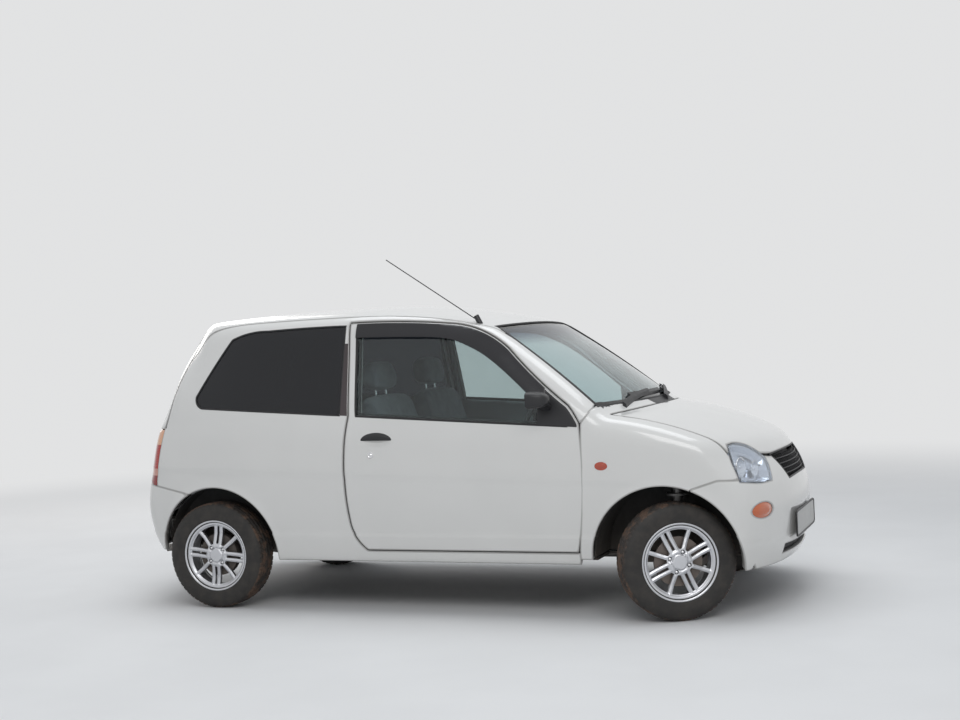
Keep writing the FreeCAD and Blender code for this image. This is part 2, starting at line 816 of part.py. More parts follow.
# Bumpers
bumper = SKIN.common(front_end(0)).cut(
    [
        HOOD_CLEAR,
        LAMPS_CLEAR,
        GRILLE_CLEAR,
        ARCHES,
        corner_lamp_region(SEAM),
        block(FRONT_AXLE - 100, NOSE - 90, -560, 560, 100, 300),
        INTAKE,
    ]
)
bumper = main_solid(bumper.common(prism("xz", FRONT_LIMIT, -WIDE, WIDE)))
add("front_bumper", bumper)
rear_bumper = SKIN.common(rear_end(0)).cut(
    [ARCHES, TAIL_CLEAR, tail_lamp_region(SEAM), block(TAIL + 75, 0, -560, 560, 100, 330)]
)
add("rear_bumper", main_solid(rear_bumper))

# Lamps
headlamp = main_solid(WALL.common(LAMPS).common(RIGHT_OF_CENTRE).cut(HOOD_CLEAR))
add("headlamps", pair(headlamp))
tail_lamp = main_solid(WALL.common(tail_lamp_region(0)).common(RIGHT_OF_CENTRE).cut(TAIL_CLEAR))
add("tail_lamps", pair(tail_lamp))
PROUD = between(-5, 10)
corner_lamp = PROUD.common(corner_lamp_region(0)).Solids
side_lamp = PROUD.common(side_lamp_region(0)).Solids
add("indicators", Part.makeCompound(corner_lamp + side_lamp))
grille_layer = between(8, 20)
openings = []
BARS = 5
bar_pitch = (GRILLE[0][1] - GRILLE[-1][1]) / BARS
for index in range(BARS):
    low = GRILLE[-1][1] + index * bar_pitch
    openings.append(block(NOSE - 250, NOSE + 60, -330, 330, low + 5, low + bar_pitch - 4))
grille_holes = grille_region(-12).common(fuse(*openings))
grille = grille_layer.common(grille_region(-SEAM)).cut(grille_holes)
add("grille", main_solid(grille))

# Doors
door = WALL.common(prism("xz", door_outline(0), -WIDE, -400))
window = prism("xz", window_outline(0), -WIDE, WIDE)
door = door.cut([window, roof_region(GAP)])
front_pocket = block(HINGE_X - 26, DOOR_FRONT + 60, -720, -400, SILL, belt(DOOR_FRONT) - 10)
door = door.cut(front_pocket.common(BEHIND_SKIN))
for z in HINGE_HEIGHTS:
    clear = rod((HINGE_X, -HINGE_Y, z - HINGE_HALF - 3), (HINGE_X, -HINGE_Y, z + HINGE_HALF + 3), 12.5)
    door = door.cut(clear).fuse(hinge_barrel(z))
handle = fuse(
    block(-291, -132, -HALF_WIDTH - 12, -HALF_WIDTH - 4, 838, 871),
    block(-288, -266, -HALF_WIDTH - 5, -HALF_WIDTH + 20, 843, 866),
    block(-157, -135, -HALF_WIDTH - 5, -HALF_WIDTH + 20, 843, 866),
)
door = main_solid(door.fuse(handle))
door_glass = GLASS.common(prism("xz", window_outline(SEAM), -WIDE, -400))
for name, sign in SIDES:
    add(f"door_{name}", on_side(door, sign))
    add(f"door_glass_{name}", on_side(door_glass, sign))

# Fixed glass
screen = GLASS.common(prism("xy", screen_outline(-SEAM), 860, TOP))
add("windscreen", main_solid(screen))
quarter = GLASS.common(prism("xz", quarter_outline(SEAM), -WIDE, -400))
add("quarter_glass", pair(main_solid(quarter)))

# Wipers, parked along the foot of the screen: columns are pivot y, then y of the blade's ends
WIPERS = ((-470, -330, 130), (60, 205, 620))
ON_GLASS = between(-8, size("glass_inset") - SEAM)
ON_COWL = between(-16, -SEAM)


def screen_foot(y):
    """The windscreen opening's lower edge, seen from above."""
    return COWL - 38 - 128 * (y / 648) ** 2


def wiper(pivot, start, end):
    """One blade on the glass and the arm that carries it from its pivot on the cowl."""
    blade = (
        (screen_foot(start) - 40, start, 0),
        (screen_foot(start) - 24, start, (end - start) ** 2 / 13000),
        (screen_foot(end) - 24, end, 0),
        (screen_foot(end) - 40, end, -((end - start) ** 2) / 13000),
    )
    middle = (start + end) / 2
    arm = (
        (screen_foot(pivot) + 12, pivot - 12),
        (screen_foot(pivot) + 30, pivot - 12),
        (screen_foot(pivot) + 30, pivot + 14),
        (screen_foot(middle) - 24, middle + 6),
        (screen_foot(middle) - 36, middle + 6),
    )
    on_glass = ON_GLASS.common(prism("xy", blade, COWL_LOW, TOP))
    return main_solid(on_glass.fuse(ON_COWL.common(prism("xy", arm, COWL_LOW, TOP))))


add("wipers", Part.makeCompound([wiper(*row) for row in WIPERS]))

# Tailgate
tailgate = WALL.common(TAIL_REGION).cut(tail_lamp_region(GAP))
REAR_WINDOW = (
    (-505, 968, 0),
    (505, 968, 8),
    (452, TOP - 118, 8),
    (-452, TOP - 118, 8),
)


def rear_window(grow):
    """The tailgate's window opening, seen from behind."""
    rows = [
        (y + toward(y) * grow, z + toward(z - 1100) * grow, sagitta) for y, z, sagitta in REAR_WINDOW
    ]
    return prism("yz", rows, TAIL - 60, TAIL + 480)


tailgate = main_solid(tailgate.cut(rear_window(0)))
for y in (-HINGE_SPREAD, HINGE_SPREAD):
    tailgate = tailgate.cut(tail_hinge(34, 16, y))
    strap = block(hinge_x - 40, hinge_x, y - 14, y + 14, hinge_z - 10, hinge_z - 2)
    barrel = tail_hinge(14, 6.5, y).fuse(strap).cut(tail_hinge(16, 3 + size("pin_play"), y))
    tailgate = tailgate.fuse(barrel)
add("tailgate", tailgate)
add("tailgate_glass", main_solid(GLASS.common(rear_window(-SEAM))))


# Running gear, interior and fittings, as parametric objects


def value(expression):
    """A number worked out from the sheet."""
    return float(sheet.evalExpression(expression))


def bind(item, **sizes):
    """Sets properties; text is an expression on the sheet and stays bound to it."""
    for prop, wanted in sizes.items():
        if isinstance(wanted, str):
            item.setExpression(prop, wanted)
        else:
            setattr(item, prop, wanted)
    return item


def sketch_on(body, role, outlines):
    """A sketch of closed outlines of straight edges, their corners bound to expressions."""
    sketch = body.newObject("Sketcher::SketchObject", body.Name + "_outline")
    plane = [feature for feature in body.Origin.OriginFeatures if feature.Role == role][0]
    sketch.AttachmentSupport = (plane, [""])
    sketch.MapMode = "FlatFace"
    first = 0
    for outline in outlines:
        corners = [Vec(value(u), value(v), 0) for u, v in outline]
        count = len(corners)
        for index, corner in enumerate(corners):
            sketch.addGeometry(Part.LineSegment(corner, corners[(index + 1) % count]), False)
        for index in range(count):
            following = first + (index + 1) % count
            sketch.addConstraint(Sketcher.Constraint("Coincident", first + index, 2, following, 1))
        for index, (u, v) in enumerate(outline, first):
            for kind, text, axis in (("DistanceX", u, -2), ("DistanceY", v, -1)):
                number = value(text)
                if abs(number) < 1e-9:
                    sketch.addConstraint(Sketcher.Constraint("PointOnObject", index, 1, axis))
                    continue
                row = sketch.addConstraint(Sketcher.Constraint(kind, -1, 1, index, 1, number))
                sketch.setExpression(f"Constraints[{row}]", text)
        first += count
    return sketch


def named(item, place=None):
    """Lists a parametric object as a sub-part under its own name."""
    item.Label = item.Name
    if place is not None:
        item.Placement = place
    PARTS.append(item)
    return item


def box(name, length, width, height, corner):
    """A parametric box."""
    item = doc.addObject("Part::Box", name)
    bind(item, Length=length, Width=width, Height=height)
    item.Placement.Base = Vec(*corner)
    return item


# Wheels. The section's columns: radius, distance along the axle, outboard negative
RIM_SECTION = (
    ("Sizes.spindle_radius + Sizes.spindle_play", "-40"),
    ("78", "-40"),
    ("112", "-35"),
    ("146", "-40"),
    ("Sizes.bead_radius - 8", "-30"),
    ("Sizes.bead_radius - 8", "Sizes.rim_width / 2 - 8"),
    ("Sizes.rim_radius - 6", "Sizes.rim_width / 2"),
    ("Sizes.rim_radius", "Sizes.rim_width / 2"),
    ("Sizes.rim_radius", "Sizes.rim_width / 2 - 6"),
    ("Sizes.bead_radius", "Sizes.rim_width / 2 - 6"),
    ("Sizes.bead_radius", "-(Sizes.rim_width / 2 - 6)"),
    ("Sizes.rim_radius", "-(Sizes.rim_width / 2 - 6)"),
    ("Sizes.rim_radius", "-Sizes.rim_width / 2"),
    ("Sizes.rim_radius - 7", "-Sizes.rim_width / 2"),
    ("Sizes.bead_radius - 6", "-(Sizes.rim_width / 2 - 4)"),
    ("150", "-53"),
    ("112", "-50"),
    ("78", "-58"),
    ("34", "-58"),
    ("34", "-62"),
    ("0", "-62"),
    ("0", "-57.2"),
    ("Sizes.spindle_radius + Sizes.spindle_play", "-57.2"),
)
TYRE_SECTION = (
    ("Sizes.bead_radius + Sizes.seam", "-(Sizes.rim_width / 2 - 6 - Sizes.seam)"),
    ("Sizes.rim_radius + 0.8", "-(Sizes.rim_width / 2 - 6 - Sizes.seam)"),
    ("Sizes.rim_radius + 6", "-(Sizes.tyre_width / 2 - 6)"),
    ("Sizes.tyre_radius - 56", "-Sizes.tyre_width / 2"),
    ("Sizes.tyre_radius - 26", "-(Sizes.tyre_width / 2 - 2)"),
    ("Sizes.tyre_radius - 8", "-(Sizes.tyre_width / 2 - 10)"),
    ("Sizes.tyre_radius", "-(Sizes.tyre_width / 2 - 24)"),
    ("Sizes.tyre_radius", "Sizes.tyre_width / 2 - 24"),
    ("Sizes.tyre_radius - 8", "Sizes.tyre_width / 2 - 10"),
    ("Sizes.tyre_radius - 26", "Sizes.tyre_width / 2 - 2"),
    ("Sizes.tyre_radius - 56", "Sizes.tyre_width / 2"),
    ("Sizes.rim_radius + 6", "Sizes.tyre_width / 2 - 6"),
    ("Sizes.rim_radius + 0.8", "Sizes.rim_width / 2 - 6 - Sizes.seam"),
    ("Sizes.bead_radius + Sizes.seam", "Sizes.rim_width / 2 - 6 - Sizes.seam"),
    ("Sizes.bead_radius + Sizes.seam", "Sizes.rim_width / 2 - 16"),
    ("Sizes.rim_radius + 4", "Sizes.rim_width / 2 - 16"),
    ("Sizes.tyre_radius - 56", "Sizes.tyre_width / 2 - 9"),
    ("Sizes.tyre_radius - 14", "Sizes.tyre_width / 2 - 22"),
    ("Sizes.tyre_radius - 12", "0"),
    ("Sizes.tyre_radius - 14", "-(Sizes.tyre_width / 2 - 22)"),
    ("Sizes.tyre_radius - 56", "-(Sizes.tyre_width / 2 - 9)"),
    ("Sizes.rim_radius + 4", "-(Sizes.rim_width / 2 - 16)"),
    ("Sizes.bead_radius + Sizes.seam", "-(Sizes.rim_width / 2 - 16)"),
)
# The gaps of one quarter: inside the twin spoke, then on both sides of it
RIM_WINDOWS = (
    (("-6", "90"), ("6", "90"), ("9", "142"), ("-9", "142")),
    (("20", "84"), ("52.3", "60.8"), ("96.2", "104.6"), ("22", "140")),
    (("-20", "84"), ("-22", "140"), ("-96.2", "104.6"), ("-52.3", "60.8")),
)
QUARTERS = 4


def turned(name, section):
    """A body turned about the axle from one section."""
    body = doc.addObject("PartDesign::Body", name)
    sketch = sketch_on(body, "XY_Plane", [section])
    turn = body.newObject("PartDesign::Revolution", name + "_turn")
    turn.Profile = sketch
    turn.ReferenceAxis = (sketch, ["V_Axis"])
    turn.Angle = 360
    return body


rim_body = turned("rim_master", RIM_SECTION)
window_sketch = sketch_on(rim_body, "XZ_Plane", RIM_WINDOWS)
doc.recompute()
solid_rim = rim_body.Shape.Volume
pocket = rim_body.newObject("PartDesign::Pocket", "rim_window")
pocket.Profile = window_sketch
pocket.Type = "ThroughAll"
pocket.Midplane = True
doc.recompute()
if rim_body.Shape.Volume > solid_rim - 1000:
    raise ValueError("the rim's window cut nothing")
windows = rim_body.newObject("PartDesign::PolarPattern", "rim_windows")
windows.Originals = [pocket]
windows.Axis = ([f for f in rim_body.Origin.OriginFeatures if f.Role == "Y_Axis"][0], [""])
windows.Angle = 360
windows.Occurrences = QUARTERS
rim_body.Tip = windows
tyre_body = turned("tyre_master", TYRE_SECTION)
doc.recompute()

KINGPIN_Y = HALF_TRACK - size("kingpin_inset")
STEER = size("steer_rest")


def wheel_place(axle, sign):
    """Where a wheel stands: the fronts turn about their kingpins."""
    x = FRONT_AXLE if axle == FRONT else REAR_AXLE
    spin = FreeCAD.Rotation(Vec(0, 0, 1), 0 if sign < 0 else 180)
    place = FreeCAD.Placement(Vec(x, sign * HALF_TRACK, AXLE_HEIGHT), spin)
    if axle == FRONT:
        pin = Vec(x, sign * KINGPIN_Y, 0)
        turn = FreeCAD.Placement(Vec(0, 0, 0), FreeCAD.Rotation(Vec(0, 0, 1), STEER), pin)
        place = turn.multiply(place)
    return place


for axle, axle_name in ((FRONT, "front"), (REAR, "rear")):
    for side_name, sign in SIDES:
        for kind, master in (("rim", rim_body), ("tyre", tyre_body)):
            copy = doc.addObject("Part::Feature", f"{kind}_{axle_name}_{side_name}")
            copy.Shape = master.Shape
            named(copy, wheel_place(axle, sign))

# Knuckles, drawn about the wheel's centre for the right side
SPINDLE = size("spindle_radius")
HUB_FACE = -40 + SEAM
PIN_OFFSET = size("kingpin_inset")


def knuckle_shape():
    """Spindle, hub, brake disc, caliper and the upright that turns on the ball pin."""
    upright = fuse(
        rod((0, HUB_FACE - 17, 0), (0, HUB_FACE, 0), SPINDLE),
        rod((0, HUB_FACE, 0), (0, HUB_FACE + 12, 0), 62),
        rod((0, HUB_FACE + 12, 0), (0, HUB_FACE + 24, 0), 112),
        rod((0, HUB_FACE + 24, 0), (0, PIN_OFFSET, 0), 40),
        rod((0, PIN_OFFSET, -72), (0, PIN_OFFSET, 60), 24),
        block(60, 108, HUB_FACE + 9, HUB_FACE + 48, -50, 62),
        block(30, 62, HUB_FACE + 26, HUB_FACE + 46, -30, 40),
    )
    socket = rod((0, PIN_OFFSET, -80), (0, PIN_OFFSET, -30), 12 + size("spindle_play"))
    return upright.cut(socket)


for side_name, sign in SIDES:
    knuckle = doc.addObject("Part::Feature", f"knuckle_{side_name}")
    shape = knuckle_shape()
    knuckle.Shape = shape if sign < 0 else shape.mirror(Vec(0, 0, 0), Vec(0, 1, 0))
    place = wheel_place(FRONT, sign)
    if sign > 0:
        place = place.multiply(FreeCAD.Placement(Vec(0, 0, 0), FreeCAD.Rotation(Vec(0, 0, 1), 180)))
    named(knuckle, place)

# Front crossmember, arms with their ball pins, and struts under the wells' tops
ARM_TOP = AXLE_HEIGHT - 78
crossmember = block(FRONT_AXLE - 70, FRONT_AXLE + 40, -340, 340, 168, 208)
suspension = [crossmember]
for _, sign in SIDES:
    suspension += [
        block(BULKHEAD - 30, BULKHEAD, sign * 240, sign * 290, 196, FLOOR - 12 - SEAM),
        block(BULKHEAD - 30, FRONT_AXLE - 60, sign * 240, sign * 290, 196, 228),
        block(FRONT_AXLE - 50, FRONT_AXLE, sign * 180, sign * 240, 200, 235 - SEAM),
    ]
for _, sign in SIDES:
    pin_y = sign * KINGPIN_Y
    suspension.append(
        prism(
            "xy",
            (
                (FRONT_AXLE - 150, sign * 330),
                (FRONT_AXLE + 60, sign * 330),
                (FRONT_AXLE + 22, pin_y),
                (FRONT_AXLE - 22, pin_y),
            ),
            ARM_TOP - 20,
            ARM_TOP,
        )
    )
    suspension.append(rod((FRONT_AXLE, pin_y, ARM_TOP - 20), (FRONT_AXLE, pin_y, ARM_TOP), 22))
    suspension.append(rod((FRONT_AXLE, pin_y, ARM_TOP), (FRONT_AXLE, pin_y, ARM_TOP + 34), 12))
add("front_suspension", fuse(*suspension))
STRUT_Y = 500
well_top = AXLE_HEIGHT + 6 + math.sqrt(size("arch_radius") ** 2 - (ARCH_OFFSET + 45) ** 2)
mount_top = AXLE_HEIGHT + 6 + math.sqrt(size("arch_radius") ** 2 - (ARCH_OFFSET + 22) ** 2) - SEAM
struts = []
for _, sign in SIDES:
    y = sign * STRUT_Y
    struts.append(
        fuse(
            rod((FRONT_AXLE, y, 400), (FRONT_AXLE, y, mount_top), 22),
            rod((FRONT_AXLE, y, 545), (FRONT_AXLE, y, 555), 52),
            rod((FRONT_AXLE, y, 580), (FRONT_AXLE, y, well_top - 1), 45),
        )
    )
add("front_struts", Part.makeCompound(struts))

# Wheel wells
for axle, axle_name in ((FRONT, "front"), (REAR, "rear")):
    shell = well_space(axle, 0).cut(
        arch_cut(axle, 0, WIDE).cut(
            block(TAIL, NOSE, -WELL_INNER[axle] - LINER, WELL_INNER[axle] + LINER, 0, TOP)
        )
    )
    shell = shell.common(FITTED).cut(block(TAIL, NOSE, -WIDE, WIDE, 0, SILL + 34))
    shell = shell.cut(block(REAR_AXLE - 60, REAR_AXLE + 60, -WIDE, WIDE, 0, 330))
    add(f"{axle_name}_wheel_wells", Part.makeCompound(shell.Solids))

# Floor, with its kick-up over the tank and the rear axle
floor = prism(
    "xz",
    (
        (BULKHEAD - SEAM, FLOOR - 12),
        (BULKHEAD - SEAM, FLOOR),
        (KICK + 12, FLOOR),
        (KICK, LOAD + 12),
        (TAIL + 20, LOAD + 12),
        (TAIL + 20, LOAD),
        (KICK - 12, LOAD),
        (KICK, FLOOR - 12),
    ),
    -WIDE,
    WIDE,
)
floor_low = floor.common(block(KICK - 20, NOSE, -SILL_INNER + SEAM, SILL_INNER - SEAM, 0, TOP))
floor_high = floor.common(block(TAIL, KICK - 19.9, -WIDE, WIDE, 300, TOP)).common(FITTED)
floor = floor_low.fuse(floor_high).cut(WELLS)
add("floor_pan", main_solid(floor))

# Engine and gearbox as one plain mass
engine = box("engine_block", "430", "600", "400", (FRONT_AXLE - 110, -300, 235))
named(engine)

# Radiator support between the front end and the engine
support = block(NOSE - 165, NOSE - 140, -392, 392, 232, 670)
support = support.cut(block(NOSE - 170, NOSE - 130, -250, 250, 300, 600))
core = block(NOSE - 160, NOSE - 145, -250, 250, 300, 600)
beam = block(NOSE - 95, NOSE - 70, -400, 400, 440, 520)
rails = []
for _, sign in SIDES:
    rails += [
        block(BULKHEAD + 12 + SEAM, NOSE - 150, sign * 335, sign * 390, 330, 420),
        block(NOSE - 150, NOSE - 80, sign * 335, sign * 390, 450, 510),
    ]
add("front_frame", fuse(support, core, beam, *rails))

# Rear axle with trailing arms, springs and dampers
# Steps of the hub and drum: two distances from the wheel's seat, radius
REAR_HUB = ((-115, -36, 40), (-48, -10, 105), (-10, 0, 62), (0, 17, SPINDLE))
axle_parts = [rod((REAR_AXLE, -580, AXLE_HEIGHT), (REAR_AXLE, 580, AXLE_HEIGHT), 27)]
for _, sign in SIDES:
    for inner, outer, radius in REAR_HUB:
        start = (REAR_AXLE, sign * (HALF_TRACK - HUB_FACE + inner), AXLE_HEIGHT)
        end = (REAR_AXLE, sign * (HALF_TRACK - HUB_FACE + outer), AXLE_HEIGHT)
        axle_parts.append(rod(start, end, radius))
    axle_parts += [
        rod((REAR_AXLE, sign * 440, AXLE_HEIGHT), (KICK - 60, sign * 440, 330), 18),
        rod((REAR_AXLE, sign * 440, AXLE_HEIGHT), (REAR_AXLE, sign * 440, LOAD - SEAM), 20),
        rod((REAR_AXLE, sign * 440, AXLE_HEIGHT + 24), (REAR_AXLE, sign * 440, LOAD - SEAM), 44),
        rod((KICK - 60, sign * 440 - 14, 330), (KICK - 60, sign * 440 + 14, 330), 26),
        block(KICK - 76, KICK - 44, sign * 440 - 14, sign * 440 + 14, 330, LOAD - SEAM),
    ]
add("rear_axle", fuse(*axle_parts))
tank = doc.addObject("Part::Feature", "fuel_tank")
tank_shape = block(REAR_AXLE + 130, KICK - 90, -360, 360, LOAD - 160, LOAD - SEAM)
tank.Shape = tank_shape.makeFillet(30, tank_shape.Edges)
named(tank)

# Exhaust, hung below the floor
PIPE_Z = 212
pipe = fuse(
    rod((FRONT_AXLE - 110 - SEAM, -120, PIPE_Z), (REAR_AXLE + 40, -120, PIPE_Z - 6), 20),
    rod((REAR_AXLE + 40, -120, PIPE_Z - 6), (REAR_AXLE - 150, -200, PIPE_Z + 30), 20),
    rod((REAR_AXLE - 170, -320, PIPE_Z + 55), (REAR_AXLE - 170, -20, PIPE_Z + 55), 62),
    rod((REAR_AXLE - 170, -280, PIPE_Z + 55), (TAIL + 60, -400, PIPE_Z + 40), 20),
)
for x in (500, -300):
    pipe = pipe.fuse(rod((x, -120, PIPE_Z), (x, -120, FLOOR - 12 - SEAM), 6))
for y in (-270, -50):
    pipe = pipe.fuse(rod((REAR_AXLE - 170, y, PIPE_Z + 55), (REAR_AXLE - 170, y, LOAD - SEAM), 6))
add("exhaust", pipe)

# Dashboard with the steering column
COLUMN = Vec(0.92, 0, -0.392).normalize()
WHEEL_HUB = Vec(FRONT_AXLE - 728, -330, 885)
dash = prism(
    "xz",
    (
        (BULKHEAD - SEAM, FLOOR + 380),
        (BULKHEAD - SEAM, 912),
        (FRONT_AXLE - 470, 925),
        (FRONT_AXLE - 545, 902),
        (FRONT_AXLE - 575, 800),
        (FRONT_AXLE - 530, 640),
        (FRONT_AXLE - 440, 620),
    ),
    -618,
    618,
)
cluster = prism(
    "xz",
    (
        (FRONT_AXLE - 480, 910),
        (FRONT_AXLE - 500, 968),
        (FRONT_AXLE - 560, 962),
        (FRONT_AXLE - 575, 880),
        (FRONT_AXLE - 540, 850),
    ),
    -480,
    -180,
)
shaft_end = WHEEL_HUB + COLUMN * 4
column_start = WHEEL_HUB + COLUMN * 36
column_end = WHEEL_HUB + COLUMN * 200
dash = fuse(
    dash.common(FITTED).cut(WELLS),
    cluster,
    rod(column_start, column_end, 27),
    rod(shaft_end, column_end, 9),
)
add("dashboard", dash)


def steering_wheel_shape():
    """Rim, boss and three spokes about the column's axis, in its own frame."""
    reach = size("wheel_rim_radius") - 13
    ring = Part.makeTorus(reach, 13)
    boss = Part.makeCylinder(45, 34, Vec(0, 0, -4))
    parts = [ring, boss]
    for angle in (-75, 0, 75):
        spoke = Part.makeBox(reach - 10, 34, 12, Vec(10, -17, -2))
        spoke.rotate(Vec(0, 0, 0), Vec(0, 0, 1), angle)
        parts.append(spoke)
    bore = Part.makeCylinder(9 + size("pin_play"), 60, Vec(0, 0, 3))
    return fuse(*parts).cut(bore)


WHEEL_RATIO = 16
steering_wheel = doc.addObject("Part::Feature", "steering_wheel")
steering_wheel.Shape = steering_wheel_shape()
tilt = FreeCAD.Rotation(Vec(0, 0, 1), COLUMN)
turn = FreeCAD.Rotation(COLUMN, -STEER * WHEEL_RATIO)
named(steering_wheel, FreeCAD.Placement(WHEEL_HUB, turn.multiply(tilt)))

# Seats: cushion, backrest and headrest; columns are x and z of each outline
SEAT_CUSHION = (
    (-200, 330),
    (-215, 440),
    (-150, 455),
    (255, 490),
    (290, 465),
    (285, 400),
    (240, 345),
)
SEAT_BACK = (
    (-200, 420),
    (-100, 470),
    (-225, 780),
    (-300, 1040),
    (-390, 1035),
    (-360, 780),
    (-270, 440),
)
HEADREST = ((-325, 1060), (-345, 1200), (-390, 1205), (-430, 1195), (-415, 1060))
for side_name, sign in SIDES:
    middle = sign * size("seat_spacing") / 2
    half = size("seat_width") / 2
    seat = fuse(
        prism("xz", SEAT_CUSHION, middle - half, middle + half),
        prism("xz", SEAT_BACK, middle - half, middle + half),
        prism("xz", HEADREST, middle - 130, middle + 130),
        block(-376, -364, middle - 66, middle - 54, 1030, 1070),
        block(-376, -364, middle + 54, middle + 66, 1030, 1070),
        block(-150, 220, middle - half + 20, middle - half + 50, FLOOR + SEAM, 380),
        block(-150, 220, middle + half - 50, middle + half - 20, FLOOR + SEAM, 380),
    )
    add(f"front_seat_{side_name}", seat)
BENCH = (
    (KICK - 10, LOAD + 12 + SEAM),
    (KICK + 10, LOAD + 110),
    (KICK - 20, LOAD + 150),
    (KICK - 360, LOAD + 120),
    (KICK - 500, LOAD + 560),
    (KICK - 590, LOAD + 555),
    (KICK - 490, LOAD + 12 + SEAM),
)
bench = prism("xz", BENCH, -WELL_INNER[REAR] + 22, WELL_INNER[REAR] - 22)
add("rear_seat", bench)

# Door mirrors on the sail plates that fill the front corners of the door windows
JUST_OUTSIDE = body_solid(-SEAM, -SEAM)
SAIL_REAR = DOOR_FRONT - 205
SAIL_LAYER = between(-2, size("glass_inset") - SEAM)
sail = prism("xz", window_outline(SEAM), -WIDE, -400).common(
    block(SAIL_REAR, DOOR_FRONT, -WIDE, -400, 0, TOP)
)
sail = main_solid(SAIL_LAYER.common(sail))
for side_name, sign in SIDES:
    head = block(DOOR_FRONT - 217, DOOR_FRONT - 115, -862, -742, 974, 1053)
    head = head.makeFillet(22, head.Edges)
    stalk = block(DOOR_FRONT - 190, DOOR_FRONT - 145, -760, -660, 960, 1000)
    mirror = fuse(head, stalk.cut(JUST_OUTSIDE), sail)
    add(f"door_mirror_{side_name}", on_side(main_solid(mirror), sign))

# Aerial
antenna = fuse(
    rod((278, -540, 1370), (256, -540, 1412), 13).cut(JUST_OUTSIDE),
    rod((266, -542, 1388), (-195, -560, 1705), 2.5),
)
add("antenna", antenna)


# Check and write
doc.recompute()
for item in doc.Objects:
    if "Invalid" in item.State or "Error" in item.State:
        raise ValueError(f"{item.Name} failed")
for part in PARTS:
    shape = part.Shape
    if shape.isNull() or not shape.isValid() or not shape.Solids:
        raise ValueError(f"{part.Label} has no valid solid")
os.makedirs("parts", exist_ok=True)
for part in PARTS:
    part.Shape.exportStep(f"parts/{part.Label}.step")
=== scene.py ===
"""Looks of a three-door kei hatchback: pressed panels, glazing, lamps, wheels and cabin."""

import math

import bmesh
import bpy
import numpy as np
from mathutils import Matrix


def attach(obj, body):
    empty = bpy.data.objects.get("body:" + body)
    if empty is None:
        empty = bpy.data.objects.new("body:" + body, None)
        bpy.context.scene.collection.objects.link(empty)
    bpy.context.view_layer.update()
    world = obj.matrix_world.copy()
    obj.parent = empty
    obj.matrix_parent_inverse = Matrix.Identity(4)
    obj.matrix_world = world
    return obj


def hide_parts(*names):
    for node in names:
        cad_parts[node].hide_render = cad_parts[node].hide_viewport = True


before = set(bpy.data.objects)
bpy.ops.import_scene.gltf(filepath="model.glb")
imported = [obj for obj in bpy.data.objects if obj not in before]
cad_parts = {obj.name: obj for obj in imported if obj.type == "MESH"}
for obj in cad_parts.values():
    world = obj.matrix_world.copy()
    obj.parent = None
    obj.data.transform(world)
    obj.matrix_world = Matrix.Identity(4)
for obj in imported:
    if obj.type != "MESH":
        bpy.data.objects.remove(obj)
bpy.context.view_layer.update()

# Lengths below are millimetres, as in the part's source; meshes are written in metres.
MM = 0.001
HALF_WIDTH = 737.5
FRONT_AXLE = 1194.5
REAR_AXLE = -1145.5
AXLE_HEIGHT = 266
HALF_TRACK = 650
KINGPIN_Y = 615
STEER = math.radians(30)
GAP = 5.5
ARCH_RADIUS = 340
ARCH_X = {"front": FRONT_AXLE - 17, "rear": REAR_AXLE + 17}
ARCH_Z = 272
SIDES = (("right", -1), ("left", 1))


def belt(x):
    """Height of the waistline, a straight line falling forwards."""
    return 1006 - 0.06262 * (x + 1203)


# Outer form of the body

# Side profile: x, z, bulge of the edge to the next row, and how far the row moves at full width
PROFILE = (
    (1640.5, 205, 9, -150, 0),
    (1689.5, 333, 2, -150, 0),
    (1697.5, 480, 4, -150, 0),
    (1678.5, 590, 3, -150, 0),
    (1632.5, 735, 8, -225, -15),
    (1545.5, 797, 20, -190, -2),
    (1040.5, 948, 10, -150, -24),
    (399.5, 1372, 28, -70, -30),
    (-400.5, 1483, 7, 0, -66),
    (-1300.5, 1455, 12, 70, -62),
    (-1392.5, 1400, 14, 95, -35),
    (-1590.5, 960, 5, 110, 0),
    (-1662.5, 650, 4, 120, 0),
    (-1696, 600, 3, 120, 0),
    (-1692, 353, 5, 120, 0),
    (-1637.5, 293, 0, 120, 0),
)
# Plan widths: z, half width, front and rear reach of the outline at that height
PLAN = (
    (150, 669.5, 1530.5, -1527.5),
    (400, 722.5, 1592.5, -1590.5),
    (650, 737.5, 1575.5, -1575.5),
    (900, 730.5, 1560.5, -1510.5),
    (1150, 668.5, 1545.5, -1420.5),
    (1520, 565.5, 1530.5, -1260.5),
)
STEP = 10.0


def bulged(start, end, bulge, count=14):
    """Points from start towards end: the chord plus bulge * 4t(1 - t) to its right."""
    start, end = np.asarray(start, float), np.asarray(end, float)
    t = np.arange(count)[:, None] / count
    along = end - start
    side = np.array((along[1], -along[0])) / np.hypot(*along)
    return start + t * along + 4 * t * (1 - t) * bulge * side


def outline(rows, count=14):
    """A closed outline through rows of (u, v, bulge)."""
    spans = zip(rows, rows[1:] + rows[:1])
    return np.concatenate([bulged(a[:2], b[:2], a[2] if len(a) > 2 else 0, count) for a, b in spans])


def blur(table, spread):
    """A table smoothed along its first axis by a Gaussian, its ends continued straight."""
    reach = int(3 * spread / STEP) + 1
    ramp = np.arange(-reach, reach + 1) * STEP
    weight = np.exp(-0.5 * (ramp / spread) ** 2)
    weight /= weight.sum()
    steps = np.arange(reach, 0, -1).reshape(-1, *[1] * (table.ndim - 1))
    low = table[:1] - steps * (table[1] - table[0])
    high = table[-1:] + steps[::-1] * (table[-1] - table[-2])
    padded = np.concatenate([low, table, high])
    return sum(w * padded[i : i + len(table)] for i, w in enumerate(weight))


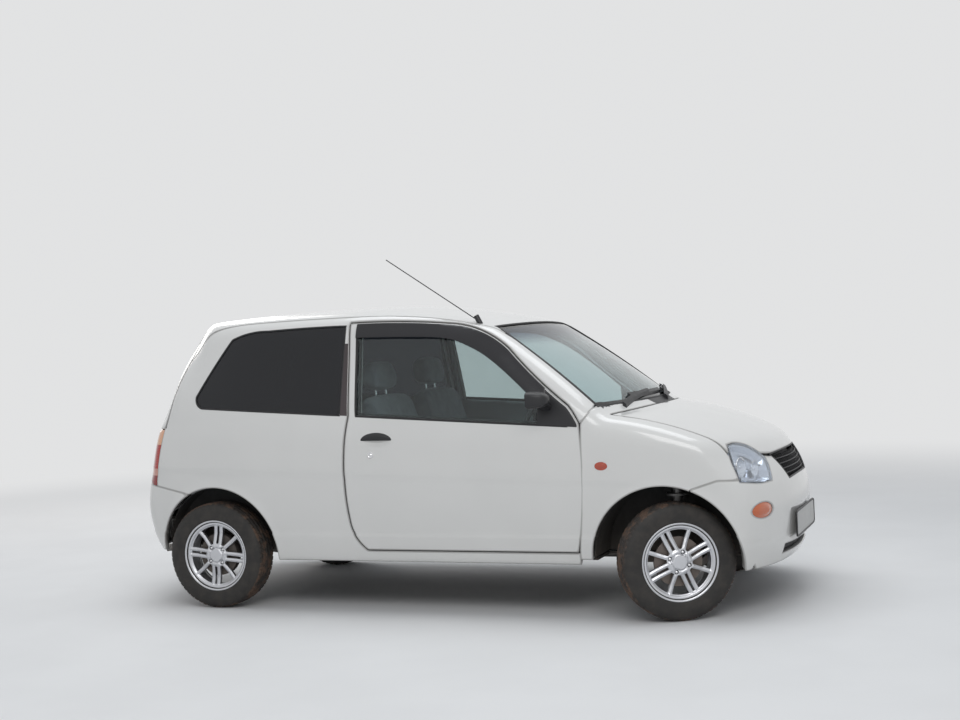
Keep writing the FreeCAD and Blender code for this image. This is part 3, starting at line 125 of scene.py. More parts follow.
def cubic(table, first, steps, u, v):
    """Bicubic (Catmull-Rom) reading of a table at u, v."""
    taps, places = [], []
    for value, low, step, size in zip((u, v), first, steps, table.shape):
        at = np.clip((value - low) / step, 1, size - 2.001)
        cell = at.astype(int)
        t = at - cell
        taps.append(
            (
                ((2 - t) * t - 1) * t / 2,
                ((3 * t - 5) * t * t + 2) / 2,
                ((4 - 3 * t) * t + 1) * t / 2,
                (t - 1) * t * t / 2,
            )
        )
        places.append(cell)
    total = 0
    for i in range(4):
        row = sum(taps[1][j] * table[places[0] + i - 1, places[1] + j - 1] for j in range(4))
        total = total + taps[0][i] * row
    return total


def profile_at(q, first, last):
    """The side profile's rows first to last at crown q, as one run of points."""
    rows = [(x + q * dx, z + q * dz, bulge) for x, z, bulge, dx, dz in PROFILE[first : last + 1]]
    runs = [bulged(a[:2], b[:2], a[2]) for a, b in zip(rows, rows[1:])]
    return np.concatenate(runs + [np.array([rows[-1][:2]])])


CROWNS = np.arange(-1, 9) / 6.0
TOP_X = np.arange(-1800, 1801, STEP)
END_Z = np.arange(100, 1601, STEP)


def read_off(points, across, along, grid, low_slope, high_slope):
    """One coordinate of a run of points read against the other, continued by slopes."""
    order = np.argsort(points[:, across])
    u, v = points[order, across], points[order, along]
    inner = np.interp(grid, u, v)
    return inner + low_slope * np.minimum(grid - u[0], 0) + high_slope * np.maximum(grid - u[-1], 0)


TOP_TABLE = blur(
    np.stack([read_off(profile_at(q, 4, 10), 0, 1, TOP_X, 0.65, -1.0) for q in CROWNS], 1), 20
)
FRONT_TABLE = blur(
    np.stack([read_off(profile_at(q, 0, 4), 1, 0, END_Z, 0.6, -0.42) for q in CROWNS], 1), 14
)
REAR_TABLE = blur(
    np.stack([read_off(profile_at(q, 10, 15), 1, 0, END_Z, -1.0, 0.47) for q in CROWNS], 1), 12
)


def plan_row(half, front, rear):
    """Half width against x at one height: flat flanks that turn in towards both ends."""
    rows = (
        (rear - 170, 0, 0),
        (rear, half - 120, 17),
        (rear + 80, half - 40, 10),
        (-950.5, half, 0),
        (999.5, half, 12.5),
        (front - 80, half - 50, 17),
        (front, half - 130, 0),
        (front + 190, 0, 0),
    )
    runs = [bulged(a[:2], b[:2], -a[2]) for a, b in zip(rows, rows[1:])]
    return read_off(np.concatenate(runs), 0, 1, TOP_X, 3.5, -3.2)


PLAN_ROWS = np.array(PLAN)
PLAN_TABLE = np.stack([plan_row(*row[1:]) for row in PLAN], 1)


def through_levels(values):
    """Natural cubic through the plan's levels, read every STEP of height."""
    z = PLAN_ROWS[:, 0]
    gaps = np.diff(z)
    count = len(z)
    system = np.eye(count)
    right = np.zeros((count, values.shape[0]))
    for i in range(1, count - 1):
        system[i, i - 1 : i + 2] = gaps[i - 1], 2 * (gaps[i - 1] + gaps[i]), gaps[i]
        rise = (values[:, i + 1] - values[:, i]) / gaps[i] - (values[:, i] - values[:, i - 1]) / gaps[i - 1]
        right[i] = 6 * rise
    bend = np.linalg.solve(system, right).T
    cell = np.clip(np.searchsorted(z, END_Z) - 1, 0, count - 2)
    low, high, gap = END_Z - z[cell], z[cell + 1] - END_Z, gaps[cell]
    return (
        bend[:, cell] * high**3 / (6 * gap)
        + bend[:, cell + 1] * low**3 / (6 * gap)
        + (values[:, cell] / gap - bend[:, cell] * gap / 6) * high
        + (values[:, cell + 1] / gap - bend[:, cell + 1] * gap / 6) * low
    )


SIDE_TABLE = blur(through_levels(PLAN_TABLE), 34)


def ease(value, low, high):
    """0 below low, 1 above high, and 3t^2 - 2t^3 between."""
    t = np.clip((value - low) / (high - low), 0, 1)
    return t * t * (3 - 2 * t)


def side_relief(x, z):
    """Pressed lines of the flank: the sill ledge, the shoulder line and the arch lips."""
    between_arches = ease(x, -1700, -1500) * (1 - ease(x, 1500, 1600))
    ledge = -5.5 * ease(z, 374, 386) * (1 - ease(z, 386, 600))
    shoulder_z = 668 - 0.032 * (x + 700)
    rise, fall = ease(z, shoulder_z - 10, shoulder_z + 22), ease(z, shoulder_z + 30, shoulder_z + 170)
    shoulder = 3.5 * rise * (1 - fall)
    waist = 2.5 * np.exp(-(((z - shoulder_z - 175) / 60) ** 2))
    lip = 0
    for centre in ARCH_X.values():
        away = np.hypot(x - centre, z - ARCH_Z) - ARCH_RADIUS
        lip = lip + 6 * np.exp(-((np.maximum(away, 0) / 20) ** 2)) * (z > 150)
    return (ledge + shoulder + waist) * between_arches * (z < 1000) + lip


def smooth_max(a, b, width):
    """The larger of two fields, with a rounded corner of the given width between them."""
    near = np.maximum(width - np.abs(a - b), 0) / width
    return np.maximum(a, b) + near**3 * width / 6


def body(p):
    """Field of the outer form: negative inside, zero on the skin, positive outside."""
    x, y, z = p[..., 0], np.abs(p[..., 1]), p[..., 2]
    q = (y / HALF_WIDTH) ** 2
    crown = (CROWNS[0], CROWNS[1] - CROWNS[0])
    top = (z - cubic(TOP_TABLE, (TOP_X[0], crown[0]), (STEP, crown[1]), x, q)) * 0.9
    front = (x - cubic(FRONT_TABLE, (END_Z[0], crown[0]), (STEP, crown[1]), z, q)) * 0.9
    rear = (cubic(REAR_TABLE, (END_Z[0], crown[0]), (STEP, crown[1]), z, q) - x) * 0.9
    side = y - cubic(SIDE_TABLE, (TOP_X[0], END_Z[0]), (STEP, STEP), x, z) - side_relief(x, z)
    under = 243 - 38 * ease(x, 1250, 1600) + 50 * ease(-x, 1500, 1660) - z
    ledge = 4 * ease(z, 322, 336) * (1 - ease(z, 336, 480))
    field = smooth_max(side, top, 110)
    field = smooth_max(field, front + ledge, 90)
    field = smooth_max(field, rear + ledge, 90)
    return smooth_max(field, under, 26)


def slope(p, field=body):
    """Gradient of the outer form's field by central differences."""
    parts = []
    for axis in np.eye(3):
        parts.append((field(p + axis) - field(p - axis)) / 2)
    return np.stack(parts, -1)


def normals_at(p):
    """Unit outward normals of the outer form."""
    g = slope(p)
    return g / np.maximum(np.linalg.norm(g, axis=-1, keepdims=True), 1e-9)


def cast(origin, direction, low=60.0, high=1500.0):
    """Points where rays from inside leave the form: bisection, then two secant steps."""
    a = np.full(origin.shape[:-1], low)
    b = np.full(origin.shape[:-1], high)
    for _ in range(13):
        middle = (a + b) / 2
        inside = body(origin + middle[..., None] * direction) < 0
        a, b = np.where(inside, middle, a), np.where(inside, b, middle)
    for _ in range(2):
        fa, fb = body(origin + a[..., None] * direction), body(origin + b[..., None] * direction)
        t = np.clip(a - fa * (b - a) / np.where(np.abs(fb - fa) < 1e-9, 1e-9, fb - fa), a, b)
        a, b = t - 0.02, t + 0.02
    return origin + ((a + b) / 2)[..., None] * direction


def settle(p, offset=0.0):
    """Moves points along the normal until they lie offset outside the form."""
    for _ in range(4):
        g = slope(p)
        size = np.maximum(np.linalg.norm(g, axis=-1), 1e-9)
        p = p - ((body(p) / size - offset) / size)[..., None] * g
    return p


# Ray fans that lay a flat grid over the form
def flank_rays(u, v):
    """u runs along the car; v is girth on a drum of radius 760 about a low spine."""
    turn = v / 760
    origin = np.stack([u, 0 * u, 650 + 0 * u], -1)
    return origin, np.stack([0 * u, -np.cos(turn), np.sin(turn)], -1)


def top_rays(u, v):
    """Plan view: straight up at (u, v)."""
    return np.stack([u, v, 500 + 0 * u], -1), np.stack([0 * u, 0 * u, 1 + 0 * u], -1)


def nose_rays(u, v):
    """Globe about a point inside the nose; u is along its equator, v up."""
    turn, lift = u / 560, v / 560
    origin = np.stack([1120 + 0 * u, 0 * u, 460 + 0 * u], -1)
    flat = np.cos(lift)
    return origin, np.stack([flat * np.cos(turn), flat * np.sin(turn), np.sin(lift)], -1)


def tail_rays(u, v):
    """Globe about a point inside the tail; u is along its equator, v up."""
    turn, lift = u / 720, v / 720
    origin = np.stack([-860 + 0 * u, 0 * u, 800 + 0 * u], -1)
    flat = np.cos(lift)
    return origin, np.stack([-flat * np.cos(turn), flat * np.sin(turn), np.sin(lift)], -1)


# Signed distances that bound the panels
def smooth(points, count, closed=False):
    """Catmull-Rom line through a few points, count samples to a span."""
    points = np.asarray(points, float)
    if closed:
        padded = np.concatenate([points[-1:], points, points[:2]])
    else:
        padded = np.concatenate([2 * points[:1] - points[1:2], points, 2 * points[-1:] - points[-2:-1]])
    a, b, c, d = padded[:-3, None], padded[1:-2, None], padded[2:-1, None], padded[3:, None]
    t = (np.arange(count) / count)[None, :, None]
    runs = b + t * (c - a) / 2 + t**2 * (2 * a - 5 * b + 4 * c - d) / 2 + t**3 * (3 * b - a - 3 * c + d) / 2
    runs = runs.reshape(-1, points.shape[1])
    return runs if closed else np.concatenate([runs, points[-1:]])


def apart(loop, u, v):
    """Signed distance to a closed outline, negative inside: the nearest of its edges."""
    a, d = loop, np.roll(loop, -1, 0) - loop
    u, v = np.asarray(u)[..., None], np.asarray(v)[..., None]
    pu, pv = u - a[:, 0], v - a[:, 1]
    t = np.clip((pu * d[:, 0] + pv * d[:, 1]) / np.maximum((d**2).sum(1), 1e-9), 0, 1)
    gap = np.sqrt(((pu - t * d[:, 0]) ** 2 + (pv - t * d[:, 1]) ** 2).min(-1))
    above = a[:, 1] > v
    crosses = (above != (a[:, 1] + d[:, 1] > v)) & (pu < d[:, 0] * pv / np.where(d[:, 1] == 0, 1e-9, d[:, 1]))
    return np.where(crosses.sum(-1) % 2 == 1, -gap, gap)


def arch_gap(p, grow=0.0):
    """Distance outside both wheel arches, positive in the openings' outside."""
    x, z = p[..., 0], p[..., 2]
    rings = [ARCH_RADIUS + grow - np.hypot(x - centre, z - ARCH_Z) for centre in ARCH_X.values()]
    return np.maximum(*rings)


DOOR = outline(
    (
        (772.5, 305, 26),
        (805.5, belt(810.5) + 16, 3),
        (750.5, belt(810.5) + 100, -8),
        (449.5, 1248, 26),
        (149.5, 1379, 8),
        (-387.5, 1403, 0),
        (-359.5, belt(-365.5), 22),
        (-369.5, 425, 12),
        (-293.5, 305, 0),
    )
)
DOOR_WINDOW = outline(
    (
        (752, belt(752) + 3, 2),
        (676, belt(752) + 92, -8),
        (432, 1204, 20),
        (139, 1352, 8),
        (-348, 1373, 0),
        (-322, belt(-322) + 3, 0),
    )
)
QUARTER = outline(
    (
        (-407.5, belt(-407) + 2, 0),
        (-411.5, 1392, 3),
        (-845.5, 1384, 12),
        (-1050.5, 1348, 6),
        (-1236, 1066, 14),
        (-1193.5, belt(-1193) + 2, 0),
    )
)
BONNET = outline(
    (
        (939.5, -640, 0),
        (1456.5, -604, -10),
        (1537.5, -545, -10),
        (1579.5, -345, 58),
        (1579.5, 345, -10),
        (1537.5, 545, -10),
        (1456.5, 604, 0),
        (939.5, 640, -108),
    )
)
SCREEN = outline(
    (
        (349.5, -535, 0),
        (874.5, -648, 128),
        (874.5, 648, 0),
        (349.5, 535, -46),
    )
)
HEADLAMP = np.concatenate(
    [
        smooth(((655, 619), (640, 660), (622, 701), (598, 741), (569, 777)), 4),
        smooth(((569, 777), (505, 781), (449, 768), (408, 741), (375, 709)), 5)[1:],
        smooth(((375, 709), (380, 686), (392, 663), (428, 604)), 4)[1:],
        smooth(((428, 604), (538, 603), (655, 619)), 4)[1:-1],
    ]
)
GRILLE = outline(((-318, 712, 0), (-232, 592, -8), (232, 592, 0), (318, 712, 10)))
CORNER_LAMP = (552, 483)
CORNER_LAMP_HALF = (72, 33)
WING_SEAM = (
    (778, 200),
    (778, 271),
    (778, 305),
    (798, 480),
    (811, 700),
    (811, 896),
    (853, 956),
    (900, 1010),
)
FENDER_SEAM = ((816, 243), (1294, 243), (1306, 592), (1424, 630), (1519, 628), (1457, 778))
TAILGATE_SEAM = ((-1296.5, 1443), (-1315.5, 1306), (-1392.5, 1055), (-1425.5, 908))
LAMP_EDGE = ((-1425.5, 908), (-1481.5, 644), (-1484, 300))
FUEL_LID = (-1030.5, 770)
LAMP_TOP = 908
LAMP_INNER = 545
DITCH = 560
RIM = 2.5


def ahead_of(seam, u, v):
    """Signed distance ahead (+u) of a run of seam points read against v, scaled by its slant."""
    seam = np.array(sorted(seam, key=lambda row: row[1]))
    edge = np.interp(v, seam[:, 1], seam[:, 0])
    slant = np.gradient(seam[:, 0], seam[:, 1])
    lean = np.interp(v, seam[:, 1], slant)
    return (u - edge) / np.sqrt(1 + lean**2)


def split(p):
    """x, distance from the middle plane, and z of points."""
    return p[..., 0], np.abs(p[..., 1]), p[..., 2]


def all_of(*fields):
    """Overlap of regions: the largest of their signed distances."""
    return np.maximum.reduce(fields)


def front_end(p):
    """Ahead of the seam between wing and front bumper: inside is negative."""
    x, _, z = split(p)
    return apart(np.array(FENDER_SEAM + ((1800, 778), (1800, 100), (816, 100))), x, z)


def rear_end(p):
    """Behind and below the seam between rear quarter and rear bumper."""
    x, _, z = split(p)
    loop = np.array(
        ((-1760, 638), (-1587, 638), (-1427, 606), (-1230, 566), (-1230, 100), (-1760, 100)), float
    )
    return apart(loop, x, z)


def tail_seam(p):
    """Behind the tailgate's side seam: negative where the tailgate is."""
    x, _, z = split(p)
    return ahead_of(TAILGATE_SEAM, x, z)


def seen(loop, u, v, grow=0):
    """Region inside an outline read on two axes of the points, grown by a margin."""
    return lambda p: apart(loop, p[..., u], p[..., v]) - grow


# Building meshes
def link(name, points, faces, body_name, slot, material, nodes=(), extra=None, shell=False):
    """One mesh piece in metres, riding on a body and standing for CAD nodes."""
    mesh = bpy.data.meshes.new(name)
    loops = [loop for part in (faces if isinstance(faces, list) else [faces]) for loop in part.tolist()]
    mesh.from_pydata((np.asarray(points) * MM).tolist(), [], loops)
    for key, values in (extra or {}).items():
        attribute = mesh.attributes.new(key, "FLOAT", "POINT")
        attribute.data.foreach_set("value", np.asarray(values, np.float32))
    shaped = bmesh.new()
    shaped.from_mesh(mesh)
    bmesh.ops.remove_doubles(shaped, verts=shaped.verts, dist=0.00025)
    bmesh.ops.dissolve_degenerate(shaped, edges=shaped.edges, dist=0.00005)
    if shell:
        bmesh.ops.recalc_face_normals(shaped, faces=shaped.faces)
    shaped.to_mesh(mesh)
    shaped.free()
    mesh.polygons.foreach_set("use_smooth", [True] * len(mesh.polygons))
    piece = bpy.data.objects.new(name, mesh)
    bpy.context.scene.collection.objects.link(piece)
    mesh.materials.append(material)
    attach(piece, body_name)
    if nodes:
        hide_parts(*nodes)
    return piece


def grid_faces(rows, columns, wrap_rows=False, wrap_columns=False, first=0):
    """Quads over a grid of points stored row by row."""
    i = np.arange(rows if wrap_rows else rows - 1)
    j = np.arange(columns if wrap_columns else columns - 1)
    i, j = (part.ravel() for part in np.meshgrid(i, j, indexing="ij"))
    ni, nj = (i + 1) % rows, (j + 1) % columns
    return first + np.stack([i * columns + j, ni * columns + j, ni * columns + nj, i * columns + nj], 1)


def walled(piece, thickness, offset=-1.0):
    """Gives a sheet its wall."""
    wall = piece.modifiers.new("wall", "SOLIDIFY")
    wall.thickness = thickness * MM
    wall.offset = offset
    return piece


def over(rays, inset=0.0):
    """Lays a grid over the outer form along a fan of rays, drawn in by the inset."""
    if inset:
        return lambda a, b: settle(cast(*rays(a, b)), -inset)
    return lambda a, b: cast(*rays(a, b))


def sheet_mesh(
    lay, u_range, v_range, cell, region, rim=RIM, depth=14.0, press=None, normals=normals_at, fold=1
):
    """Points, faces and edge distances of a pressed sheet.

    A grid is laid on a surface; cells inside the region stay, and their outer corners slide
    over the surface until they lie on the region's edge; the edge then rolls through a quarter
    circle of radius rim and runs inwards to the given depth, or outwards where fold is -1.
    """
    u, v = np.meshgrid(np.arange(*u_range, cell), np.arange(*v_range, cell), indexing="ij")
    p = lay(u, v)
    d = region(p)
    inside = d < 0
    padded = np.pad(inside, 1)
    rows, columns = u.shape
    beside = np.zeros_like(inside)
    for i in range(3):
        for j in range(3):
            beside |= padded[i : i + rows, j : j + columns]
    moving = (~inside & beside) | (inside & (d > -0.22 * cell))
    a, b = u[moving], v[moving]
    for _ in range(6):
        here = region(lay(a, b))
        da = region(lay(a + 0.5, b)) - region(lay(a - 0.5, b))
        db = region(lay(a, b + 0.5)) - region(lay(a, b - 0.5))
        size = np.maximum(da**2 + db**2, 0.04)
        step = np.clip(here / size, -cell, cell)
        a, b = a - step * da, b - step * db
    u[moving], v[moving] = a, b
    p[moving] = lay(a, b)
    d = region(p)
    quads = grid_faces(rows, columns)
    flat = p.reshape(-1, 3)
    kept = (inside | moving).ravel()[quads].all(1)
    quads = quads[kept]
    middles = region(flat[quads].mean(1))
    quads = quads[middles < -0.04 * cell]
    used, packed = np.unique(quads, return_inverse=True)
    quads = packed.reshape(-1, 4)
    points, distance = flat[used], np.maximum(-d.ravel()[used], 0)
    normal = normals(points)
    first = points[quads]
    facing = np.cross(first[:, 2] - first[:, 0], first[:, 3] - first[:, 1])
    if (facing * normal[quads[:, 0]]).sum() < 0:
        quads = quads[:, ::-1]
    if press is not None:
        points = points + press(points, distance)[:, None] * normal
    edges = np.stack([quads, np.roll(quads, -1, 1)], 2).reshape(-1, 2)
    key = np.sort(edges, 1)
    _, index, counts = np.unique(key, axis=0, return_index=True, return_counts=True)
    border = edges[index[counts == 1]]
    run = points[border[:, 1]] - points[border[:, 0]]
    out = np.cross(run, normal[border[:, 0]])
    outward = np.zeros_like(points)
    np.add.at(outward, border[:, 0], out)
    np.add.at(outward, border[:, 1], out)
    ring = np.unique(border)
    place = np.full(len(points), -1)
    place[ring] = np.arange(len(ring))
    out = outward[ring] / np.maximum(np.linalg.norm(outward[ring], axis=1, keepdims=True), 1e-9)
    n, base = normal[ring], points[ring]
    layers = []
    for angle in (35, 65, 90):
        turn = math.radians(angle)
        layers.append(base + rim * math.sin(turn) * out - fold * rim * (1 - math.cos(turn)) * n)
    if depth > rim:
        layers.append(base + rim * out - fold * depth * n)
    pieces, faces, previous = [points], [quads], border
    for count, layer in enumerate(layers):
        start = len(points) + count * len(ring)
        following = start + place[border]
        faces.append(np.stack([previous[:, 1], previous[:, 0], following[:, 0], following[:, 1]], 1))
        pieces.append(layer)
        previous = following
    reach = np.concatenate([distance] + [np.zeros(len(ring))] * len(layers))
    return np.concatenate(pieces), np.concatenate(faces), reach


def mirrored(points, faces):
    """The same sheet on the car's other side."""
    return points * (1, -1, 1), faces[:, ::-1]


def sheet(name, data, body_name, slot, material, nodes=(), wall=1.2, side=-1):
    """A pressed sheet as a walled piece, on the right as made or mirrored to the left."""
    points, faces, reach = data
    if side > 0:
        points, faces = mirrored(points, faces)
    piece = link(name, points, faces, body_name, slot, material, nodes, {"edge": reach * MM})
    return walled(piece, wall) if wall else piece


# Lines and turned forms
def on_flank(x, z):
    """Points of the right flank seen square from the side."""
    return cast(np.stack([x, 0 * x, z + 0 * x], -1), np.array((0.0, -1.0, 0.0)) + 0 * x[..., None])


def on_nose(y, z):
    """Points of the nose seen square from the front."""
    return cast(np.stack([800 + 0 * y, y, z + 0 * y], -1), np.array((1.0, 0.0, 0.0)) + 0 * y[..., None])


def on_tail(y, z):
    """Points of the tail seen square from behind."""
    return cast(np.stack([0 * y - 700, y, z + 0 * y], -1), np.array((-1.0, 0.0, 0.0)) + 0 * y[..., None])


def on_top(x, y):
    """Points of the top seen from above."""
    return cast(*top_rays(x, y))


def rounded(width, height, power=3.0, count=16, rise=0.0):
    """Superellipse section |a/w|^n + |b/h|^n = 1, lifted by rise."""
    turn = np.arange(count) * 2 * math.pi / count
    c, s = np.cos(turn), np.sin(turn)
    across = width / 2 * np.sign(c) * np.abs(c) ** (2 / power)
    up = rise + height / 2 * np.sign(s) * np.abs(s) ** (2 / power)
    return np.stack([across, up], 1)


def carried(line, section, up, closed=False):
    """A section carried along a line; its first number runs across, its second along up."""
    line = np.asarray(line, float)
    along = np.roll(line, -1, 0) - np.roll(line, 1, 0) if closed else np.gradient(line, axis=0)
    along /= np.linalg.norm(along, axis=1, keepdims=True)
    across = np.cross(along, np.broadcast_to(up, line.shape))
    across /= np.linalg.norm(across, axis=1, keepdims=True)
    rise = np.cross(across, along)
    section = np.broadcast_to(section, (len(line), *np.shape(section)[-2:]))
    grid = line[:, None] + section[..., :1] * across[:, None] + section[..., 1:] * rise[:, None]
    rows, columns = grid.shape[:2]
    faces = [grid_faces(rows, columns, closed, True)]
    points = grid.reshape(-1, 3)
    if not closed:
        points = np.concatenate([points, grid[0].mean(0)[None], grid[-1].mean(0)[None]])
        j = np.arange(columns)
        nj = (j + 1) % columns
        total, last = rows * columns, (rows - 1) * columns
        faces.append(np.stack([j, nj, 0 * j + total], 1))
        faces.append(np.stack([j + last, nj + last, 0 * j + total + 1], 1))
    return points, faces


def turned(profile, count, closed=False, wobble=None):
    """A profile of (radius, distance) rows turned about Y; wobble alters the radius by angle and row."""
    profile = np.asarray(profile, float)
    turn = np.arange(count)[:, None] * 2 * math.pi / count
    reach, along = profile[None, :, 0], profile[None, :, 1]
    radius = reach + (0 if wobble is None else wobble(turn, reach, along))
    grid = np.stack([radius * np.cos(turn), along + 0 * turn, radius * np.sin(turn)], -1)
    return grid.reshape(-1, 3), [grid_faces(count, len(profile), True, closed)]


def joined(*shapes):
    """Several shapes as one list of points and faces."""
    points, faces, start = [], [], 0
    for some, parts in shapes:
        points.append(some)
        faces += [part + start for part in (parts if isinstance(parts, list) else [parts])]
        start += len(some)
    return np.concatenate(points), faces


def other(shape):
    """The same shape on the car's other side."""
    return shape[0] * (1, -1, 1), shape[1]


def closed_piece(name, shape, body_name, slot, material, nodes=(), extra=None):
    """A closed shape as a piece, its faces turned outwards."""
    return link(name, shape[0], shape[1], body_name, slot, material, nodes, extra, shell=True)


# Finishes
def effect(name, inputs, outputs):
    """An empty shader node group with named number inputs and outputs."""
    group = bpy.data.node_groups.new(name, "ShaderNodeTree")
    for label, kind, value in inputs:
        socket = group.interface.new_socket(label, in_out="INPUT", socket_type="NodeSocket" + kind)
        socket.default_value = value
    for label, kind in outputs:
        group.interface.new_socket(label, in_out="OUTPUT", socket_type="NodeSocket" + kind)
    return group, group.nodes.new("NodeGroupInput"), group.nodes.new("NodeGroupOutput")


def node(tree, kind, settings=None, **links):
    """A node with its settings and inputs; an input is a value or another node's socket."""
    made = tree.nodes.new("ShaderNode" + kind)
    for key, value in (settings or {}).items():
        setattr(made, key, value)
    for key, value in links.items():
        numbered = key[0] == "i" and key[1:].isdigit()
        socket = made.inputs[int(key[1:]) if numbered else key.replace("_", " ")]
        if isinstance(value, bpy.types.NodeSocket):
            tree.links.new(value, socket)
        else:
            socket.default_value = value
    return made


def noise(tree, place, scale, detail=3.0, rough=0.55):
    """Noise read at a place."""
    return node(
        tree, "TexNoise", None, Vector=place, Scale=scale, Detail=detail, Roughness=rough
    ).outputs["Fac"]


def between(tree, value, low, high, to_low=0.0, to_high=1.0):
    """A value mapped from one range to another and held there."""
    made = node(tree, "MapRange", {"interpolation_type": "SMOOTHSTEP"}, Value=value)
    for label, number in zip(("From Min", "From Max", "To Min", "To Max"), (low, high, to_low, to_high)):
        made.inputs[label].default_value = number
    return made.outputs["Result"]


def maths(tree, kind, a, b=0.0):
    """One sum on two numbers or sockets."""
    return node(tree, "Math", {"operation": kind}, i0=a, i1=b).outputs[0]


def mixed(tree, factor, a, b):
    """Colour a turning into colour b by a factor."""
    made = node(tree, "Mix", {"data_type": "RGBA"})
    for index, value in ((0, factor), (6, a), (7, b)):
        if isinstance(value, bpy.types.NodeSocket):
            tree.links.new(value, made.inputs[index])
        else:
            made.inputs[index].default_value = (*value, 1) if index else value
    return made.outputs[2]


def build_road_film():
    """Dust that thickens towards the ground, in soft patches: a mask from 0 to 1."""
    group, given, put = effect(
        "road_film", (("Top", "Float", 0.55), ("Strength", "Float", 0.5)), (("Mask", "Float"),)
    )
    place = node(group, "TexCoord").outputs["Object"]
    height = node(group, "SeparateXYZ", None, Vector=place).outputs["Z"]
    low = maths(group, "SUBTRACT", 1.0, maths(group, "DIVIDE", height, given.outputs["Top"]))
    patches = noise(group, place, 6.0, 5.0)
    mask = maths(group, "MULTIPLY", maths(group, "MAXIMUM", low, 0.0), maths(group, "MULTIPLY", patches, 1.7))
    held = maths(group, "MULTIPLY", mask, given.outputs["Strength"])
    group.links.new(maths(group, "MINIMUM", held, 1.0), put.inputs["Mask"])
    return group


def build_fine_grain():
    """Moulded grain: small cells over slow waviness, as a height."""
    group, given, put = effect("fine_grain", (("Scale", "Float", 900.0),), (("Height", "Float"),))
    place = node(group, "TexCoord").outputs["Object"]
    cells = node(group, "TexVoronoi", None, Vector=place, Scale=given.outputs["Scale"])
    height = maths(group, "ADD", cells.outputs["Distance"], noise(group, place, 40.0))
    group.links.new(height, put.inputs["Height"])
    return group


def build_weave():
    """Knitted cloth: two crossed ribs as a height, and slow tone changes as a mask."""
    group, given, put = effect(
        "seat_weave", (("Scale", "Float", 420.0),), (("Height", "Float"), ("Tone", "Float"))
    )
    place = node(group, "TexCoord").outputs["Object"]
    ribs = []
    for direction, turn in (("X", 0.0), ("Z", 0.6)):
        turned_place = node(group, "Mapping", None, Vector=place, Rotation=(0, turn, 0)).outputs["Vector"]
        wave = node(
            group,
            "TexWave",
            {"bands_direction": direction},
            Vector=turned_place,
            Scale=given.outputs["Scale"],
        )
        wave.inputs["Distortion"].default_value = 0.4
        ribs.append(wave.outputs["Fac"])
    group.links.new(maths(group, "MULTIPLY", *ribs), put.inputs["Height"])
    group.links.new(noise(group, place, 22.0, 6.0), put.inputs["Tone"])
    return group


ROAD_FILM = build_road_film()
FINE_GRAIN = build_fine_grain()
WEAVE = build_weave()
DUST = (0.25, 0.2, 0.15)


def finish(name, colour, roughness=0.4, metallic=0.0, film=0.0, grain=0.0, vary=0.04, edge_shade_and_grime=0.0, **sockets):
    """A material: base colour with slow variation, road film, painted shade with some grime along panel
    edges, grain and set sockets.
    """
    material = bpy.data.materials.new(name)
    material.use_nodes = True
    tree = material.node_tree
    shader = tree.nodes["Principled BSDF"]
    place = node(tree, "TexCoord").outputs["Object"]
    light = [min(c * (1 + vary), 1) for c in colour]
    tone = mixed(
        tree, between(tree, noise(tree, place, 2.5, 2.0), 0.3, 0.7), [c * (1 - vary) for c in colour], light
    )
    spots = between(tree, noise(tree, place, 30.0, 4.0), 0.35, 0.65, 0.94, 1.08)
    rough = maths(tree, "MULTIPLY", roughness, spots)
    if film:
        layer = node(tree, "Group", {"node_tree": ROAD_FILM})
        layer.inputs["Strength"].default_value = film
        tone = mixed(tree, layer.outputs["Mask"], tone, DUST)
        rough = maths(tree, "ADD", rough, maths(tree, "MULTIPLY", layer.outputs["Mask"], 0.4))
    # Painted shade with some grime: within 6 mm of a panel's edge and over its folded rim the colour darkens
    # towards dark brown, where the shut lines are dark.
    if edge_shade_and_grime:
        edge = node(tree, "Attribute", {"attribute_name": "edge"}).outputs["Fac"]
        near = between(tree, edge, 0.0, 0.006, edge_shade_and_grime, 0.0)
        tone = mixed(tree, near, tone, (0.07, 0.06, 0.05))
    tree.links.new(tone, shader.inputs["Base Color"])
    tree.links.new(rough, shader.inputs["Roughness"])
    shader.inputs["Metallic"].default_value = metallic
    if grain:
        cells = node(tree, "Group", {"node_tree": FINE_GRAIN})
        bump = node(tree, "Bump", None, Height=cells.outputs["Height"])
        bump.inputs["Strength"].default_value = grain
        bump.inputs["Distance"].default_value = 0.0003
        tree.links.new(bump.outputs["Normal"], shader.inputs["Normal"])
    for key, value in sockets.items():
        shader.inputs[key.replace("_", " ")].default_value = value
    return material


def shade_free(material):
    """Lets light through glass where shadows are worked out."""
    tree = material.node_tree
    shader = tree.nodes["Principled BSDF"]
    output = tree.nodes["Material Output"]
    clear = node(tree, "BsdfTransparent")
    clear.inputs["Color"].default_value = shader.inputs["Base Color"].default_value
    path = node(tree, "LightPath")
    mix = node(
        tree, "MixShader", None, Fac=path.outputs["Is Shadow Ray"], i1=shader.outputs[0], i2=clear.outputs[0]
    )
    tree.links.new(mix.outputs[0], output.inputs["Surface"])
    return material


